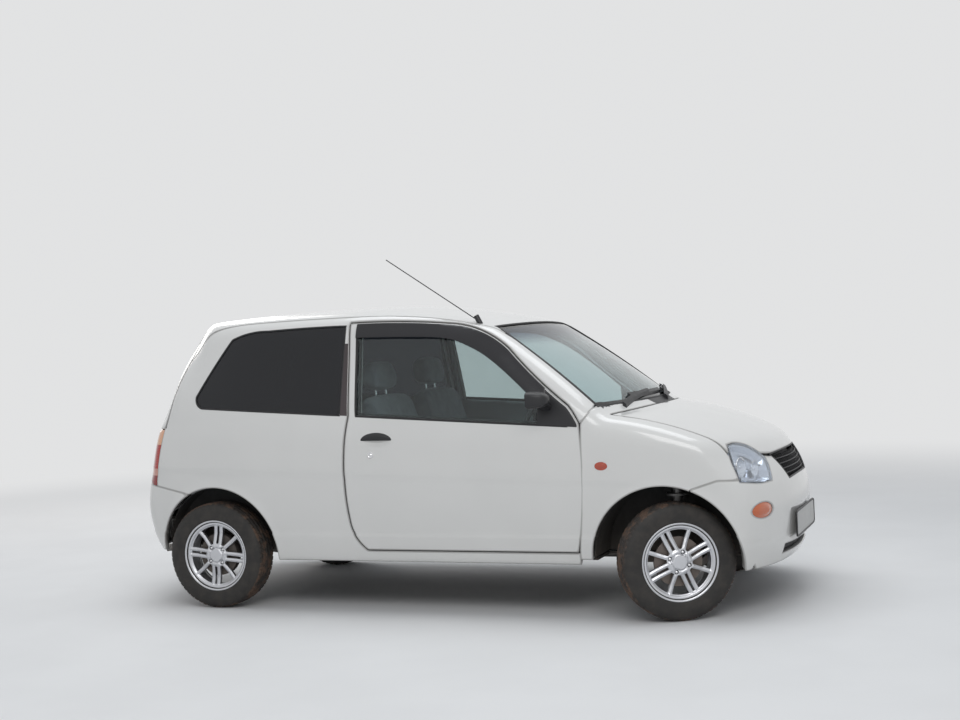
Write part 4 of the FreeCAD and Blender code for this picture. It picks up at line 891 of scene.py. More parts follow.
def glazing(name, colour, weight=1.0, roughness=0.0, ior=1.45, frit=0.0, shade=None, marks=0.0):
    """Sheet glass: water marks in its roughness, a dark baked edge, and a shade band above a height."""
    material = bpy.data.materials.new(name)
    material.use_nodes = True
    tree = material.node_tree
    shader = tree.nodes["Principled BSDF"]
    shader.inputs["Base Color"].default_value = (*colour, 1)
    shader.inputs["Transmission Weight"].default_value = weight
    shader.inputs["IOR"].default_value = ior
    place = node(tree, "TexCoord").outputs["Object"]
    shader.inputs["Roughness"].default_value = roughness
    if marks:
        dull = between(tree, noise(tree, place, 9.0, 6.0), 0.52, 0.8, roughness, roughness + marks)
        tree.links.new(dull, shader.inputs["Roughness"])
    tone = mixed(tree, between(tree, noise(tree, place, 3.0), 0.3, 0.7), colour, [c * 0.97 for c in colour])
    if shade:
        height = node(tree, "SeparateXYZ", None, Vector=place).outputs["Z"]
        tone = mixed(tree, between(tree, height, shade[0], shade[1]), tone, shade[2])
    if frit:
        edge = node(tree, "Attribute", {"attribute_name": "edge"}).outputs["Fac"]
        tone = mixed(tree, between(tree, edge, frit, frit + 0.004, 1.0, 0.0), tone, (0.004, 0.004, 0.005))
    tree.links.new(tone, shader.inputs["Base Color"])
    return shade_free(material)


# Body paint; its edge setting paints shade with some grime along every panel edge at the shut lines.
PAINT = finish(
    "pearl_paint",
    (0.71, 0.705, 0.685),
    0.3,
    film=0.07,
    vary=0.012,
    edge_shade_and_grime=0.5,
    Coat_Weight=0.9,
    Coat_Roughness=0.05,
)
# Painted shade: the body paint's colour scaled to 85 % for the door edges, the bonnet's underside, the turn
# lamp recesses and the bulkhead, which sit in shade.
SHADED_JAMB = finish("jamb_paint_shaded", (0.6, 0.595, 0.58), 0.42, vary=0.03)
BLACK = finish("black_moulding", (0.016, 0.016, 0.018), 0.42, film=0.06, grain=0.25)
BAND = finish("pillar_band", (0.03, 0.018, 0.02), 0.18, vary=0.15, Coat_Weight=0.6)
RUBBER = finish("seal_rubber", (0.011, 0.011, 0.012), 0.62, grain=0.3)
SMOKED = finish("smoked_visor", (0.006, 0.006, 0.009), 0.22, vary=0.1, Coat_Weight=0.2)
GLASS = glazing("door_glass", (0.62, 0.7, 0.7))
SCREEN_GLASS = glazing("screen_glass", (0.66, 0.8, 0.82), frit=0.018, shade=(1.25, 1.33, (0.09, 0.13, 0.2)))
DARK_GLASS = glazing("privacy_glass", (0.03, 0.033, 0.042), 0.75, marks=0.05)
UNDERSEAL = finish("underseal", (0.025, 0.025, 0.025), 0.78, film=0.45, grain=0.8)
TRIM = finish("cabin_trim", (0.2, 0.205, 0.21), 0.62, grain=0.5)
DARK_TRIM = finish("dash_moulding", (0.055, 0.057, 0.062), 0.5, grain=0.5)
LINING = finish("headlining", (0.46, 0.455, 0.44), 0.9, grain=0.8)
ALLOY = finish("cast_alloy", (0.66, 0.67, 0.7), 0.33, 0.85, film=0.12, vary=0.05, grain=0.15)
BRAKE = finish("brake_iron", (0.14, 0.12, 0.11), 0.5, 0.8, film=0.3, vary=0.2)
IRON = finish("cast_iron", (0.1, 0.09, 0.085), 0.6, 0.6, film=0.35, grain=0.8, vary=0.15)
STEEL = finish("pressed_steel", (0.24, 0.235, 0.23), 0.5, 0.8, film=0.3, vary=0.1)
CHROME = finish("bright_metal", (0.78, 0.78, 0.79), 0.14, 1.0, vary=0.03)
MIRROR = finish("mirror_silver", (0.9, 0.91, 0.92), 0.02, 1.0, vary=0.01)
# Headlamp back plate: bright metal, its colour dimmed below the chrome dishes as painted shade that gives the
# lamp depth.
REFLECTOR_SHADED = finish("lamp_reflector_shaded", (0.62, 0.64, 0.68), 0.14, 0.95, vary=0.03)
PLATE = finish("plate_enamel", (0.5, 0.5, 0.49), 0.4, film=0.25, vary=0.06)
LENS = glazing("clear_lens", (0.86, 0.9, 0.95), 0.92, 0.02, 1.4, marks=0.02)
AMBER_LENS = finish("amber_lens", (0.55, 0.1, 0.012), 0.12, vary=0.12, Coat_Weight=1.0)
RED_REPEATER = finish("red_amber_lens", (0.45, 0.05, 0.015), 0.12, vary=0.15, Coat_Weight=1.0)


def tail_lens():
    """Lamp lens in three heights: clear over red over dark red, with moulded flutes."""
    material = finish("tail_lens", (0.42, 0.012, 0.01), 0.08, vary=0.1, Coat_Weight=1.0)
    tree = material.node_tree
    shader = tree.nodes["Principled BSDF"]
    place = node(tree, "TexCoord").outputs["Object"]
    height = node(tree, "SeparateXYZ", None, Vector=place).outputs["Z"]
    flutes = node(tree, "TexWave", {"bands_direction": "Z"}, Vector=place, Scale=38.0).outputs["Fac"]
    red = mixed(tree, flutes, (0.3, 0.008, 0.008), (0.55, 0.03, 0.02))
    tone = mixed(tree, between(tree, height, 0.826, 0.832), red, (0.75, 0.4, 0.24))
    tone = mixed(tree, between(tree, height, 0.704, 0.71, 1.0, 0.0), tone, (0.62, 0.3, 0.24))
    tone = mixed(tree, between(tree, height, 0.668, 0.674, 1.0, 0.0), tone, (0.25, 0.01, 0.01))
    tree.links.new(tone, shader.inputs["Base Color"])
    return material


TAIL_LENS = tail_lens()


def tread_rubber():
    """Tyre rubber: dust on the sidewall, and dried mud on the shoulder and in the tread."""
    material = finish("tyre_rubber", (0.02, 0.019, 0.018), 0.72, grain=0.4, vary=0.15)
    tree = material.node_tree
    shader = tree.nodes["Principled BSDF"]
    place = node(tree, "TexCoord").outputs["Object"]
    tread = node(tree, "Attribute", {"attribute_name": "tread"}).outputs["Fac"]
    patches = noise(tree, place, 18.0, 6.0, 0.6)
    old = shader.inputs["Base Color"].links[0].from_socket
    dusty = mixed(tree, between(tree, patches, 0.35, 0.75, 0.02, 0.16), old, (0.16, 0.13, 0.105))
    mud = maths(
        tree, "MULTIPLY", between(tree, tread, 0.68, 0.86), between(tree, patches, 0.44, 0.6, 0.06, 0.7)
    )
    tree.links.new(mixed(tree, mud, dusty, (0.15, 0.09, 0.06)), shader.inputs["Base Color"])
    tree.links.new(between(tree, mud, 0.0, 1.0, 0.7, 0.95), shader.inputs["Roughness"])
    return material


TYRE = tread_rubber()


def seat_cloth():
    """Seat cloth: knitted ribs and slow tone changes."""
    material = finish("seat_cloth", (0.17, 0.18, 0.2), 0.92, vary=0.08, Sheen_Weight=0.25)
    tree = material.node_tree
    shader = tree.nodes["Principled BSDF"]
    weave = node(tree, "Group", {"node_tree": WEAVE})
    tone = mixed(tree, between(tree, weave.outputs["Tone"], 0.3, 0.7), (0.15, 0.16, 0.18), (0.22, 0.23, 0.25))
    tree.links.new(
        mixed(tree, weave.outputs["Height"], tone, (0.11, 0.115, 0.13)), shader.inputs["Base Color"]
    )
    bump = node(tree, "Bump", None, Height=weave.outputs["Height"])
    bump.inputs["Strength"].default_value = 0.5
    bump.inputs["Distance"].default_value = 0.0006
    tree.links.new(bump.outputs["Normal"], shader.inputs["Normal"])
    return material


CLOTH = seat_cloth()
# Pressed panels
EDGE = GAP + RIM


def oval_gap(u, v, centre, half):
    """Distance outside an oval, in units of its smaller half width."""
    return (np.hypot((u - centre[0]) / half[0], (v - centre[1]) / half[1]) - 1) * half[1]


HANDLE = (-211.5, 838)


def handle_bowl(p, _distance):
    """Dished recess under the door handle: a smooth bowl, deepest below the flap."""
    x, _, z = split(p)
    away = np.hypot((x - HANDLE[0]) / 92, (z - HANDLE[1] + 6) / 34)
    return -13 * np.clip(1 - away**2, 0, 1) ** 1.6


def flank_region(p):
    """Body side: sill, pillars, cant rail and rear quarter, without its openings."""
    x, y, z = split(p)
    rear_limit = np.where(z < LAMP_TOP + 4, -ahead_of(LAMP_EDGE, x, z) + 2, -tail_seam(p) + EDGE)
    return all_of(
        ahead_of(WING_SEAM, x, z),
        rear_limit,
        -apart(DOOR, x, z) + EDGE,
        -apart(QUARTER, x, z),
        -apart(SCREEN, x, p[..., 1]) + 2,
        arch_gap(p),
        -rear_end(p) + 2,
        DITCH + 2 - y,
        246 - z,
        x - 860,
    )


def fuel_ring(p):
    """Distance outside the fuel lid's rounded square."""
    x, _, z = split(p)
    dx, dz = np.abs(x - FUEL_LID[0]) - 40, np.abs(z - FUEL_LID[1]) - 40
    return np.hypot(np.maximum(dx, 0), np.maximum(dz, 0)) + np.minimum(np.maximum(dx, dz), 0) - 29


def panel_pair(name, data, body_names, slot, material, nodes, wall=1.2):
    """A right-hand sheet and its mirror image on the left."""
    for side_name, sign in SIDES:
        own = tuple(name_.format(side_name) for name_ in nodes)
        sheet(f"{name}_{side_name}", data, body_names.format(side_name), slot, material, own, wall, sign)


FLANK_FAN = ((-1500, 900), (-560, 780))
flank = sheet_mesh(over(flank_rays), *FLANK_FAN, 11, flank_region, depth=24)
sheet("flank_right", flank, "car_body", "paint", PAINT, ("body_side_right",))
flank = sheet_mesh(
    over(flank_rays), *FLANK_FAN, 11, lambda p: all_of(flank_region(p), 3 - fuel_ring(p)), depth=24
)
sheet("flank_left", flank, "car_body", "paint", PAINT, ("body_side_left",), side=1)
lid = sheet_mesh(over(flank_rays), (-1140, -920), (-40, 230), 7, lambda p: fuel_ring(p) + RIM, depth=5)
sheet("fuel_lid_skin", lid, "fuel_lid", "paint", PAINT, ("fuel_lid",), side=1)
lining = sheet_mesh(
    over(flank_rays, 30),
    *FLANK_FAN,
    16,
    lambda p: all_of(flank_region(p) - 4, arch_gap(p, -8)),
    rim=1,
    depth=0,
)
panel_pair("flank_lining", lining, "car_body", "dash", TRIM, (), 2)


def wing_region(p):
    """Front wing, between door, bonnet, lamp and bumper."""
    x, y, z = split(p)
    return all_of(
        -ahead_of(WING_SEAM, x, z) + RIM + 1,
        arch_gap(p),
        -front_end(p) + 2,
        -apart(BONNET, x, p[..., 1]) + EDGE,
        -apart(HEADLAMP, y, z) + 3,
        -apart(SCREEN, x, p[..., 1]) + 2,
        273 - z,
    )


wing = sheet_mesh(over(flank_rays), (700, 1600), (-560, 780), 10, wing_region, depth=20)
sheet("wing_right", wing, "car_body", "paint", PAINT, ("front_fenders",))
sheet("wing_left", wing, "car_body", "paint", PAINT, ("front_fenders",), side=1)


def door_region(p):
    """Door skin with its window frame."""
    x, _, z = split(p)
    return all_of(apart(DOOR, x, z) + RIM, -apart(DOOR_WINDOW, x, z) + 2)


DOOR_FAN = ((-420, 830), (-400, 720))
door = sheet_mesh(over(flank_rays), *DOOR_FAN, 8.5, door_region, depth=22, press=handle_bowl)
panel_pair("door_skin", door, "door_{}", "paint", PAINT, ("door_{}",))


def door_card(p):
    """Inner door panel: the door's outline drawn in, below the window."""
    x, _, z = split(p)
    return all_of(apart(DOOR, x, z) + 10, -apart(DOOR_WINDOW, x, z) + 4)


def card_form(p, distance):
    """Inner door panel's relief: an armrest ledge, a map pocket and a soft edge."""
    x, _, z = split(p)
    rest = 34 * np.exp(-(((z - 640) / 36) ** 2)) * ease(x, -330, -200) * (1 - ease(x, 420, 560))
    pocket = 22 * np.exp(-(((z - 420) / 52) ** 2)) * ease(x, -80, 0) * (1 - ease(x, 520, 640))
    return -(rest + pocket) * (z < belt(x)) + 5 * (1 - ease(distance, 0, 14))


card = sheet_mesh(over(flank_rays, 46), *DOOR_FAN, 13, door_card, rim=1, depth=0, press=card_form)
panel_pair("door_card", card, "door_{}", "dash", TRIM, (), 2)


def door_edge_region(p):
    """Folded edge of the door, between skin and inner panel."""
    rim = apart(DOOR, p[..., 0], p[..., 2])
    return all_of(rim + 4, -rim - 32)


def window_edge_region(p):
    """Dark run channel round the door's window opening."""
    x, _, z = split(p)
    window = apart(DOOR_WINDOW, x, z)
    return all_of(-window - 1, window - 26, apart(DOOR, x, z) + 6)


edge_band = sheet_mesh(over(flank_rays, 24), *DOOR_FAN, 10, door_edge_region, rim=20, depth=0, fold=1)
panel_pair("door_edge", edge_band, "door_{}", "paint", SHADED_JAMB, (), 1.2)
channel = sheet_mesh(over(flank_rays, 20), *DOOR_FAN, 10, window_edge_region, rim=14, depth=0, fold=1)
panel_pair("door_window_channel", channel, "door_{}", "black_trim", RUBBER, (), 1.2)


def bonnet_region(p):
    """Bonnet skin, cut back where headlamps and grille reach over its front edge."""
    x, y, z = split(p)
    front_gap = all_of(3 - apart(HEADLAMP, y, z), 3 - apart(GRILLE, y, z))
    return all_of(apart(BONNET, x, p[..., 1]) + RIM, np.where(x > 1400, front_gap, -99))


TOP_FAN = ((880, 1700), (-680, 680))
bonnet = sheet_mesh(over(top_rays), *TOP_FAN, 10, bonnet_region, depth=18)
sheet("bonnet_skin", bonnet, "hood", "paint", PAINT, ("hood",))


def bonnet_ribs(p, distance):
    """Pressed frame under the bonnet: a border, two long ribs and a cross rib."""
    x, y, _ = split(p)
    border = 1 - ease(distance, 34, 60)
    long = np.exp(-(((y - 210 - 0.18 * (1500 - x)) / 30) ** 2))
    cross = np.exp(-(((x - 1210) / 26) ** 2))
    return -12 + 11 * np.maximum.reduce([border, long, cross])


frame_sheet = sheet_mesh(
    over(top_rays, 16),
    *TOP_FAN,
    13,
    lambda p: all_of(bonnet_region(p) + 9, apart(BONNET, p[..., 0] + 34, p[..., 1])),
    rim=1,
    depth=0,
    press=bonnet_ribs,
)
sheet("bonnet_frame", frame_sheet, "hood", "paint", SHADED_JAMB)


def roof_area(p):
    """Roof skin between the ditches."""
    x, y, _ = split(p)
    return all_of(y - DITCH + 3, -apart(SCREEN, x, p[..., 1]) + 2, -tail_seam(p) + EDGE, x - 900)


ROOF_FAN = ((-1400, 480), (-600, 600))
roof = sheet_mesh(over(top_rays), *ROOF_FAN, 13, roof_area, depth=10)
sheet("roof_skin", roof, "car_body", "paint", PAINT, ("roof_panel",))
headlining = sheet_mesh(over(top_rays, 30), *ROOF_FAN, 18, lambda p: roof_area(p) + 2, rim=1, depth=0)
sheet("headlining", headlining, "car_body", "dash", LINING, wall=3)


def front_bumper_region(p):
    """Front bumper around lamps, grille and intake."""
    x, y, z = split(p)
    return all_of(
        front_end(p) + 2,
        arch_gap(p),
        -apart(HEADLAMP, y, z) + 3,
        -apart(GRILLE, p[..., 1], z) + 2,
        -apart(BONNET, x, p[..., 1]) + EDGE,
        212 - z,
        -oval_gap(y, z, CORNER_LAMP, CORNER_LAMP_HALF) + 4,
        -all_of(y - 345, 702 - z),
        -all_of(y - 330, 252 - z, z - 300),
        z - 790,
    )


def bumper_lines(p, _distance):
    """Bumper relief: the lip's shut line and a plate recess."""
    x, y, z = split(p)
    line = -2.2 * np.exp(-(((z - 331 - 8 * ease(y, 300, 650)) / 3.5) ** 2))
    recess = -7 * (1 - ease(y, 268, 292)) * ease(z, 300, 316) * (1 - ease(z, 446, 462)) * (x > 0)
    return line + recess


front_bumper = sheet_mesh(
    over(nose_rays), (-900, 900), (-330, 360), 8.5, front_bumper_region, depth=20, press=bumper_lines
)
sheet("front_bumper_skin", front_bumper, "car_body", "paint", PAINT, ("front_bumper",))


def rear_bumper_region(p):
    """Rear bumper below lamps and tailgate."""
    _, y, z = split(p)
    hatch = np.maximum(y - LAMP_INNER, 640 - z)
    return all_of(rear_end(p) + 2, arch_gap(p), 285 - z, -hatch + EDGE, z - 636)


def rear_bumper_lines(p, _distance):
    """Rear bumper relief: the lip's shut line and a shelf under the tailgate."""
    _, y, z = split(p)
    return -2.2 * np.exp(-(((z - 340) / 3.5) ** 2)) - 4 * (1 - ease(y, 260, 300)) * ease(z, 430, 446) * (
        1 - ease(z, 560, 576)
    )


rear_bumper = sheet_mesh(
    over(tail_rays), (-1100, 1100), (-620, 60), 9.5, rear_bumper_region, depth=20, press=rear_bumper_lines
)
sheet("rear_bumper_skin", rear_bumper, "car_body", "paint", PAINT, ("rear_bumper",))

REAR_WINDOW = outline(((-438, 1392, -6), (-555, 985, 8), (555, 985, -6), (438, 1392, 16)))


def tailgate_region(p):
    """Tailgate skin around the rear window."""
    _, y, z = split(p)
    upper = np.maximum(tail_seam(p), LAMP_TOP - z)
    lower = all_of(y - LAMP_INNER, 640 - z, z - LAMP_TOP - 20)
    return all_of(np.minimum(upper, lower) + RIM, -apart(REAR_WINDOW, p[..., 1], z) + 2)


def tailgate_form(p, _distance):
    """Tailgate relief: a pressed recess for the bare plate place and the handle lip above it."""
    _, y, z = split(p)
    recess = (1 - ease(y, 255, 285)) * ease(z, 672, 694) * (1 - ease(z, 800, 818))
    lip = 7 * (1 - ease(y, 235, 265)) * np.exp(-(((z - 828) / 11) ** 2))
    return lip - 9 * recess


TAIL_FAN = ((-800, 800), (-220, 760))
tailgate = sheet_mesh(over(tail_rays), *TAIL_FAN, 10, tailgate_region, depth=20, press=tailgate_form)
sheet("tailgate_skin", tailgate, "tailgate", "paint", PAINT, ("tailgate",))
inside = sheet_mesh(over(tail_rays, 34), *TAIL_FAN, 15, lambda p: tailgate_region(p) + 5, rim=1, depth=0)
sheet("tailgate_lining", inside, "tailgate", "dash", TRIM, wall=2)

# Glazing
screen = sheet_mesh(
    over(top_rays, 5), (250, 1100), (-720, 720), 13, seen(SCREEN, 0, 1, -4), rim=1, depth=0
)
sheet("windscreen_pane", screen, "car_body", "glass_clear", SCREEN_GLASS, ("windscreen",), wall=4)
pane = sheet_mesh(
    over(flank_rays, 7), (-420, 830), (200, 720), 12, seen(DOOR_WINDOW, 0, 2, 5), rim=1, depth=0
)
panel_pair("door_pane", pane, "door_{}", "glass_clear", GLASS, ("door_glass_{}",), 4)
quarter = sheet_mesh(
    over(flank_rays, 4), (-1300, -350), (200, 720), 12, seen(QUARTER, 0, 2, -1), rim=1, depth=0
)
panel_pair("quarter_pane", quarter, "car_body", "glass_dark", DARK_GLASS, ("quarter_glass",), 4)
back_pane = sheet_mesh(
    over(tail_rays, 5), (-700, 700), (0, 760), 14, seen(REAR_WINDOW, 1, 2, -1), rim=1, depth=0
)
sheet("tailgate_pane", back_pane, "tailgate", "glass_dark", DARK_GLASS, ("tailgate_glass",), wall=4)


def ring_on(loop, lay):
    """A closed outline laid on the form, with the form's normals along it."""
    line = lay(loop[:, 0], loop[:, 1])
    return line, normals_at(line)


SEAL = rounded(13, 8, 3.0, 12, -3)


def seal(name, loop, lay, body_name, side=None, section=SEAL, material=RUBBER, slot="black_trim", nodes=()):
    """A rubber or moulded strip round an outline."""
    line, up = ring_on(loop, lay)
    shape = carried(line, section, up, True)
    return closed_piece(name, other(shape) if side == 1 else shape, body_name, slot, material, nodes)


for side_name, sign in SIDES:
    seal(f"door_window_seal_{side_name}", DOOR_WINDOW, on_flank, f"door_{side_name}", sign)
    seal(f"quarter_seal_{side_name}", QUARTER, on_flank, "car_body", sign, rounded(9, 7, 3, 12, -2.5))
seal("windscreen_seal", SCREEN, on_top, "car_body", None, rounded(15, 8, 3, 12, -3))
seal("rear_window_seal", REAR_WINDOW, on_tail, "tailgate", None, rounded(12, 8, 3, 12, -3))

# Rain visor over the door window and black pillar band
UPPER_FRAME = smooth(
    ((-356, 1388), (-120, 1383), (139, 1366), (300, 1308), (440, 1225), (600, 1100), (740, 962)), 12
)


def near_line(line, u, v):
    """Distance to an open run of points."""
    a, d = line[:-1], np.diff(line, axis=0)
    u, v = np.asarray(u)[..., None], np.asarray(v)[..., None]
    pu, pv = u - a[:, 0], v - a[:, 1]
    t = np.clip((pu * d[:, 0] + pv * d[:, 1]) / (d**2).sum(1), 0, 1)
    return np.sqrt(((pu - t * d[:, 0]) ** 2 + (pv - t * d[:, 1]) ** 2).min(-1))


def visor_region(p):
    """Rain visor: a band under the window frame's top that widens into the mirror's corner."""
    x, _, z = split(p)
    wide = 55 + 18 * ease(x, 250, 600)
    return all_of(
        apart(DOOR, x, z) + 5, near_line(UPPER_FRAME, x, z) - wide, -350 - x, belt(x) + 6 - z, x - 640
    )


def visor_lay(a, b):
    """The visor stands further off the glass towards its lower edge."""
    p = cast(*flank_rays(a, b))
    x, _, z = split(p)
    return settle(p, 3.0 + 9 * ease(-apart(DOOR, x, z), 10, 80))


visor = sheet_mesh(visor_lay, (-420, 830), (150, 720), 9, visor_region, rim=1.2, depth=3)
panel_pair("rain_visor", visor, "door_{}", "black_trim", SMOKED, (), 2)


def sail_region(p):
    """Black corner plate that carries the mirror."""
    x, _, z = split(p)
    return all_of(apart(DOOR, x, z) + 10, 606 - x, belt(x) + 3 - z)


sail = sheet_mesh(over(flank_rays, -2.5), (540, 830), (150, 480), 8, sail_region, rim=1.5, depth=6)
panel_pair("sail_plate", sail, "door_{}", "black_trim", BLACK, (), 2)


def band_region(p):
    """Dark band on the pillar between door and quarter window."""
    x, _, z = split(p)
    return all_of(
        -apart(DOOR, x, z) + EDGE + 1, -apart(QUARTER, x, z) + 3, -440 - x, belt(x) + 3 - z, z - 1398
    )


band = sheet_mesh(over(flank_rays, -0.8), (-460, -340), (180, 620), 5, band_region, rim=0.5, depth=1)
panel_pair("pillar_band", band, "car_body", "black_trim", BAND, (), 0.8)

# Door handles, locks and mirrors
def flap_region(p):
    """Handle flap: the upper half of an oval, flat along its lower edge."""
    x, _, z = split(p)
    dome = (np.hypot((x - HANDLE[0]) / 80, (z - 834) / 37) - 1) * 37
    return all_of(dome, 838 - z)


def flap_form(_p, distance):
    """Crowned flap with a rolled edge."""
    return 6 * ease(distance, 0, 12)


flap = sheet_mesh(
    over(flank_rays, -1), (-310, -110), (120, 280), 5, flap_region, rim=3, depth=9, press=flap_form
)
panel_pair("handle_flap", flap, "door_{}", "black_trim", BLACK, (), 2)


def stud(centre, normal, profile, count=28, flats=0):
    """A small turned part set on a surface: its profile's axis follows the normal."""
    step = 2 * math.pi / max(flats, 1)

    def hexed(turn, radius, _):
        return radius * (math.cos(step / 2) / np.cos((turn % step) - step / 2) - 1)

    points, faces = turned(profile, count, True, hexed if flats else None)
    normal = np.asarray(normal, float) / np.linalg.norm(normal)
    side = np.cross(normal, (0.0, 0.1, 1.0))
    side /= np.linalg.norm(side)
    lift = np.cross(side, normal)
    basis = np.stack([side, normal, lift], 0)
    return points @ basis + centre, faces


lock_place = on_flank(np.array([-242.0]), np.array([766.0]))
LOCK_FORM = ((0.01, 3.2), (6, 3.0), (7.5, 0.4), (10, 0.4), (12, 4.0), (15, 3.2), (16.5, -2), (0.01, -2))
lock = stud(lock_place[0], normals_at(lock_place)[0], LOCK_FORM)
for side_name, sign in SIDES:
    closed_piece(
        f"door_lock_{side_name}", other(lock) if sign > 0 else lock, f"door_{side_name}", "steel", CHROME
    )


MIRROR_Y = -802
MIRROR_Z = 1013.5


def mirror_head():
    """Mirror housing: rounded sections carried from its flat back round to a domed front."""
    t = np.linspace(0, 1, 26)
    scale = np.concatenate([[0.86, 0.95], (1 - t**2.8) ** (1 / 2.2)])
    x = np.concatenate([[594.5, 594.5], 597 + 96 * t])
    turn = np.arange(48) * 2 * math.pi / 48
    c, s = np.cos(turn), np.sin(turn)
    y = np.sign(c) * np.abs(c) ** 0.5 * 58
    z = np.sign(s) * np.abs(s) ** 0.5 * 39
    scale = np.maximum(scale, 0.02)[:, None]
    across, up = y * scale, z * scale - 0.02 * (x[:, None] - 594)
    grid = np.stack([x[:, None] + 0 * y, MIRROR_Y + across, MIRROR_Z + up], -1)
    faces = [grid_faces(28, 48, False, True)]
    points = grid.reshape(-1, 3)
    points = np.concatenate([points, [[600.5, MIRROR_Y, MIRROR_Z], [693.2, MIRROR_Y, MIRROR_Z - 2]]])
    j = np.arange(48)
    faces.append(np.stack([j, (j + 1) % 48, 0 * j + 28 * 48], 1))
    faces.append(np.stack([j, (j + 1) % 48, 0 * j + 28 * 48 + 1], 1) + (27 * 48, 27 * 48, 0))
    return points, faces


def mirror_face():
    """Mirror glass: a slightly domed rounded pane set in the housing's back."""
    turn = np.arange(48) * 2 * math.pi / 48
    c, s = np.cos(turn), np.sin(turn)
    edge = np.stack([np.sign(c) * np.abs(c) ** 0.5 * 50, np.sign(s) * np.abs(s) ** 0.5 * 32], 1)
    r = np.array([1.0, 1.0, 0.96, 0.75, 0.5, 0.25, 0.02])
    x = np.array([601.0, 594.2, 593.4, 593.0, 592.8, 592.7, 592.7]) + 1.2
    grid = np.stack(
        [x[:, None] + 0 * edge[:, 0], MIRROR_Y + r[:, None] * edge[:, 0], MIRROR_Z + r[:, None] * edge[:, 1]],
        -1,
    )
    faces = [grid_faces(7, 48, False, True), np.array([np.arange(48)]), np.array([np.arange(48) + 6 * 48])]
    return grid.reshape(-1, 3), faces


foot_line = smooth(((652, -712, 972), (650, -735, 978), (646, -765, 990), (644, -800, 1004)), 6)
foot = carried(foot_line, rounded(46, 30, 2.6, 24), (0.0, 0.2, 1.0))
for side_name, sign in SIDES:
    turn_over = other if sign > 0 else lambda shape: shape
    node_name = f"door_mirror_{side_name}"
    door_name = f"door_{side_name}"
    closed_piece(
        f"mirror_housing_{side_name}", turn_over(mirror_head()), door_name, "black_trim", BLACK, (node_name,)
    )
    closed_piece(f"mirror_foot_{side_name}", turn_over(foot), door_name, "black_trim", BLACK)
    closed_piece(f"mirror_pane_{side_name}", turn_over(mirror_face()), door_name, "alloy", MIRROR)

# Headlamps
def lamp_region(p):
    """Headlamp lens."""
    x, y, z = split(p)
    return all_of(apart(HEADLAMP, y, z) + 1.5, 1400 - x)


def lamp_bowl(a, b):
    """Back of the lamp: the lens form drawn in, deepest away from its edge."""
    p = cast(*nose_rays(a, b))
    _, y, z = split(p)
    inner = np.clip(-apart(HEADLAMP, y, z) / 30, 0, 1)
    return settle(p, -(4 + 42 * (1 - (1 - inner) ** 2)))


LAMP_FAN = ((-720, -180), (40, 470))


def bowl_region(p):
    """Headlamp back plate's edge, judged on the outer form above it."""
    return lamp_region(settle(p, 0.0)) + 1


lens = sheet_mesh(over(nose_rays, -0.5), *LAMP_FAN, 7, lamp_region, rim=1.5, depth=8)
bowl = sheet_mesh(lamp_bowl, *LAMP_FAN, 7, bowl_region, rim=0.5, depth=0)


def reflector(centre, aim, radius, focus):
    """Parabolic dish x = r^2 / 4f with a rolled rim and a bulb shield."""
    r = np.linspace(3, radius, 14)
    front = [(a, a * a / (4 * focus)) for a in r]
    back = [(a + 1.5, a * a / (4 * focus) - 2) for a in r[::-1]]
    top = radius * radius / (4 * focus)
    dish = stud(centre, aim, front + [(radius + 2, top + 1), (radius + 3, top - 1)] + back, 48)
    t = np.linspace(0, math.pi, 12)
    capsule = [(max(9 * math.sin(a), 0.02), 14 - 12 * math.cos(a)) for a in t]
    return dish, stud(centre, aim, capsule, 24)


dipped, shield = reflector((1482, -566, 676), (0.95, -0.3, 0.02), 42, 17)
main_beam, beam_shield = reflector((1528, -474, 660), (0.97, -0.24, 0.02), 34, 13)
for side_name, sign in SIDES:
    turn_over = other if sign > 0 else lambda shape: shape
    sheet(f"headlamp_lens_{side_name}", lens, "car_body", "lamp_clear", LENS, ("headlamps",), 2.5, sign)
    sheet(f"headlamp_bowl_{side_name}", bowl, "car_body", "lamp_clear", REFLECTOR_SHADED, (), 1.5, sign)
    dishes = turn_over(joined(dipped, shield, main_beam, beam_shield))
    closed_piece(f"headlamp_dishes_{side_name}", dishes, "car_body", "lamp_clear", CHROME)

# Tail lamps
def tail_lamp_region(p):
    """Tail lamp lens: behind the quarter's edge, outboard of the tailgate."""
    x, y, z = split(p)
    above = np.maximum(600 - z, 3 - rear_end(p))
    return all_of(ahead_of(LAMP_EDGE, x, z) + 3, LAMP_INNER + 3 - y, above, z - 902)


def flutes(p, distance):
    """Fine moulded ridges across the lens, soft at its edge."""
    _, _, z = split(p)
    return 2.5 * ease(distance, 0, 14) + 0.45 * np.sin(z * 2 * math.pi / 13) * ease(distance, 4, 10)


tail = sheet_mesh(
    over(tail_rays), (-900, -400), (-220, 140), 5, tail_lamp_region, rim=2, depth=14, press=flutes
)
sheet("tail_lens_right", tail, "car_body", "lamp_red", TAIL_LENS, ("tail_lamps",), 2.5)
sheet("tail_lens_left", tail, "car_body", "lamp_red", TAIL_LENS, ("tail_lamps",), 2.5, 1)

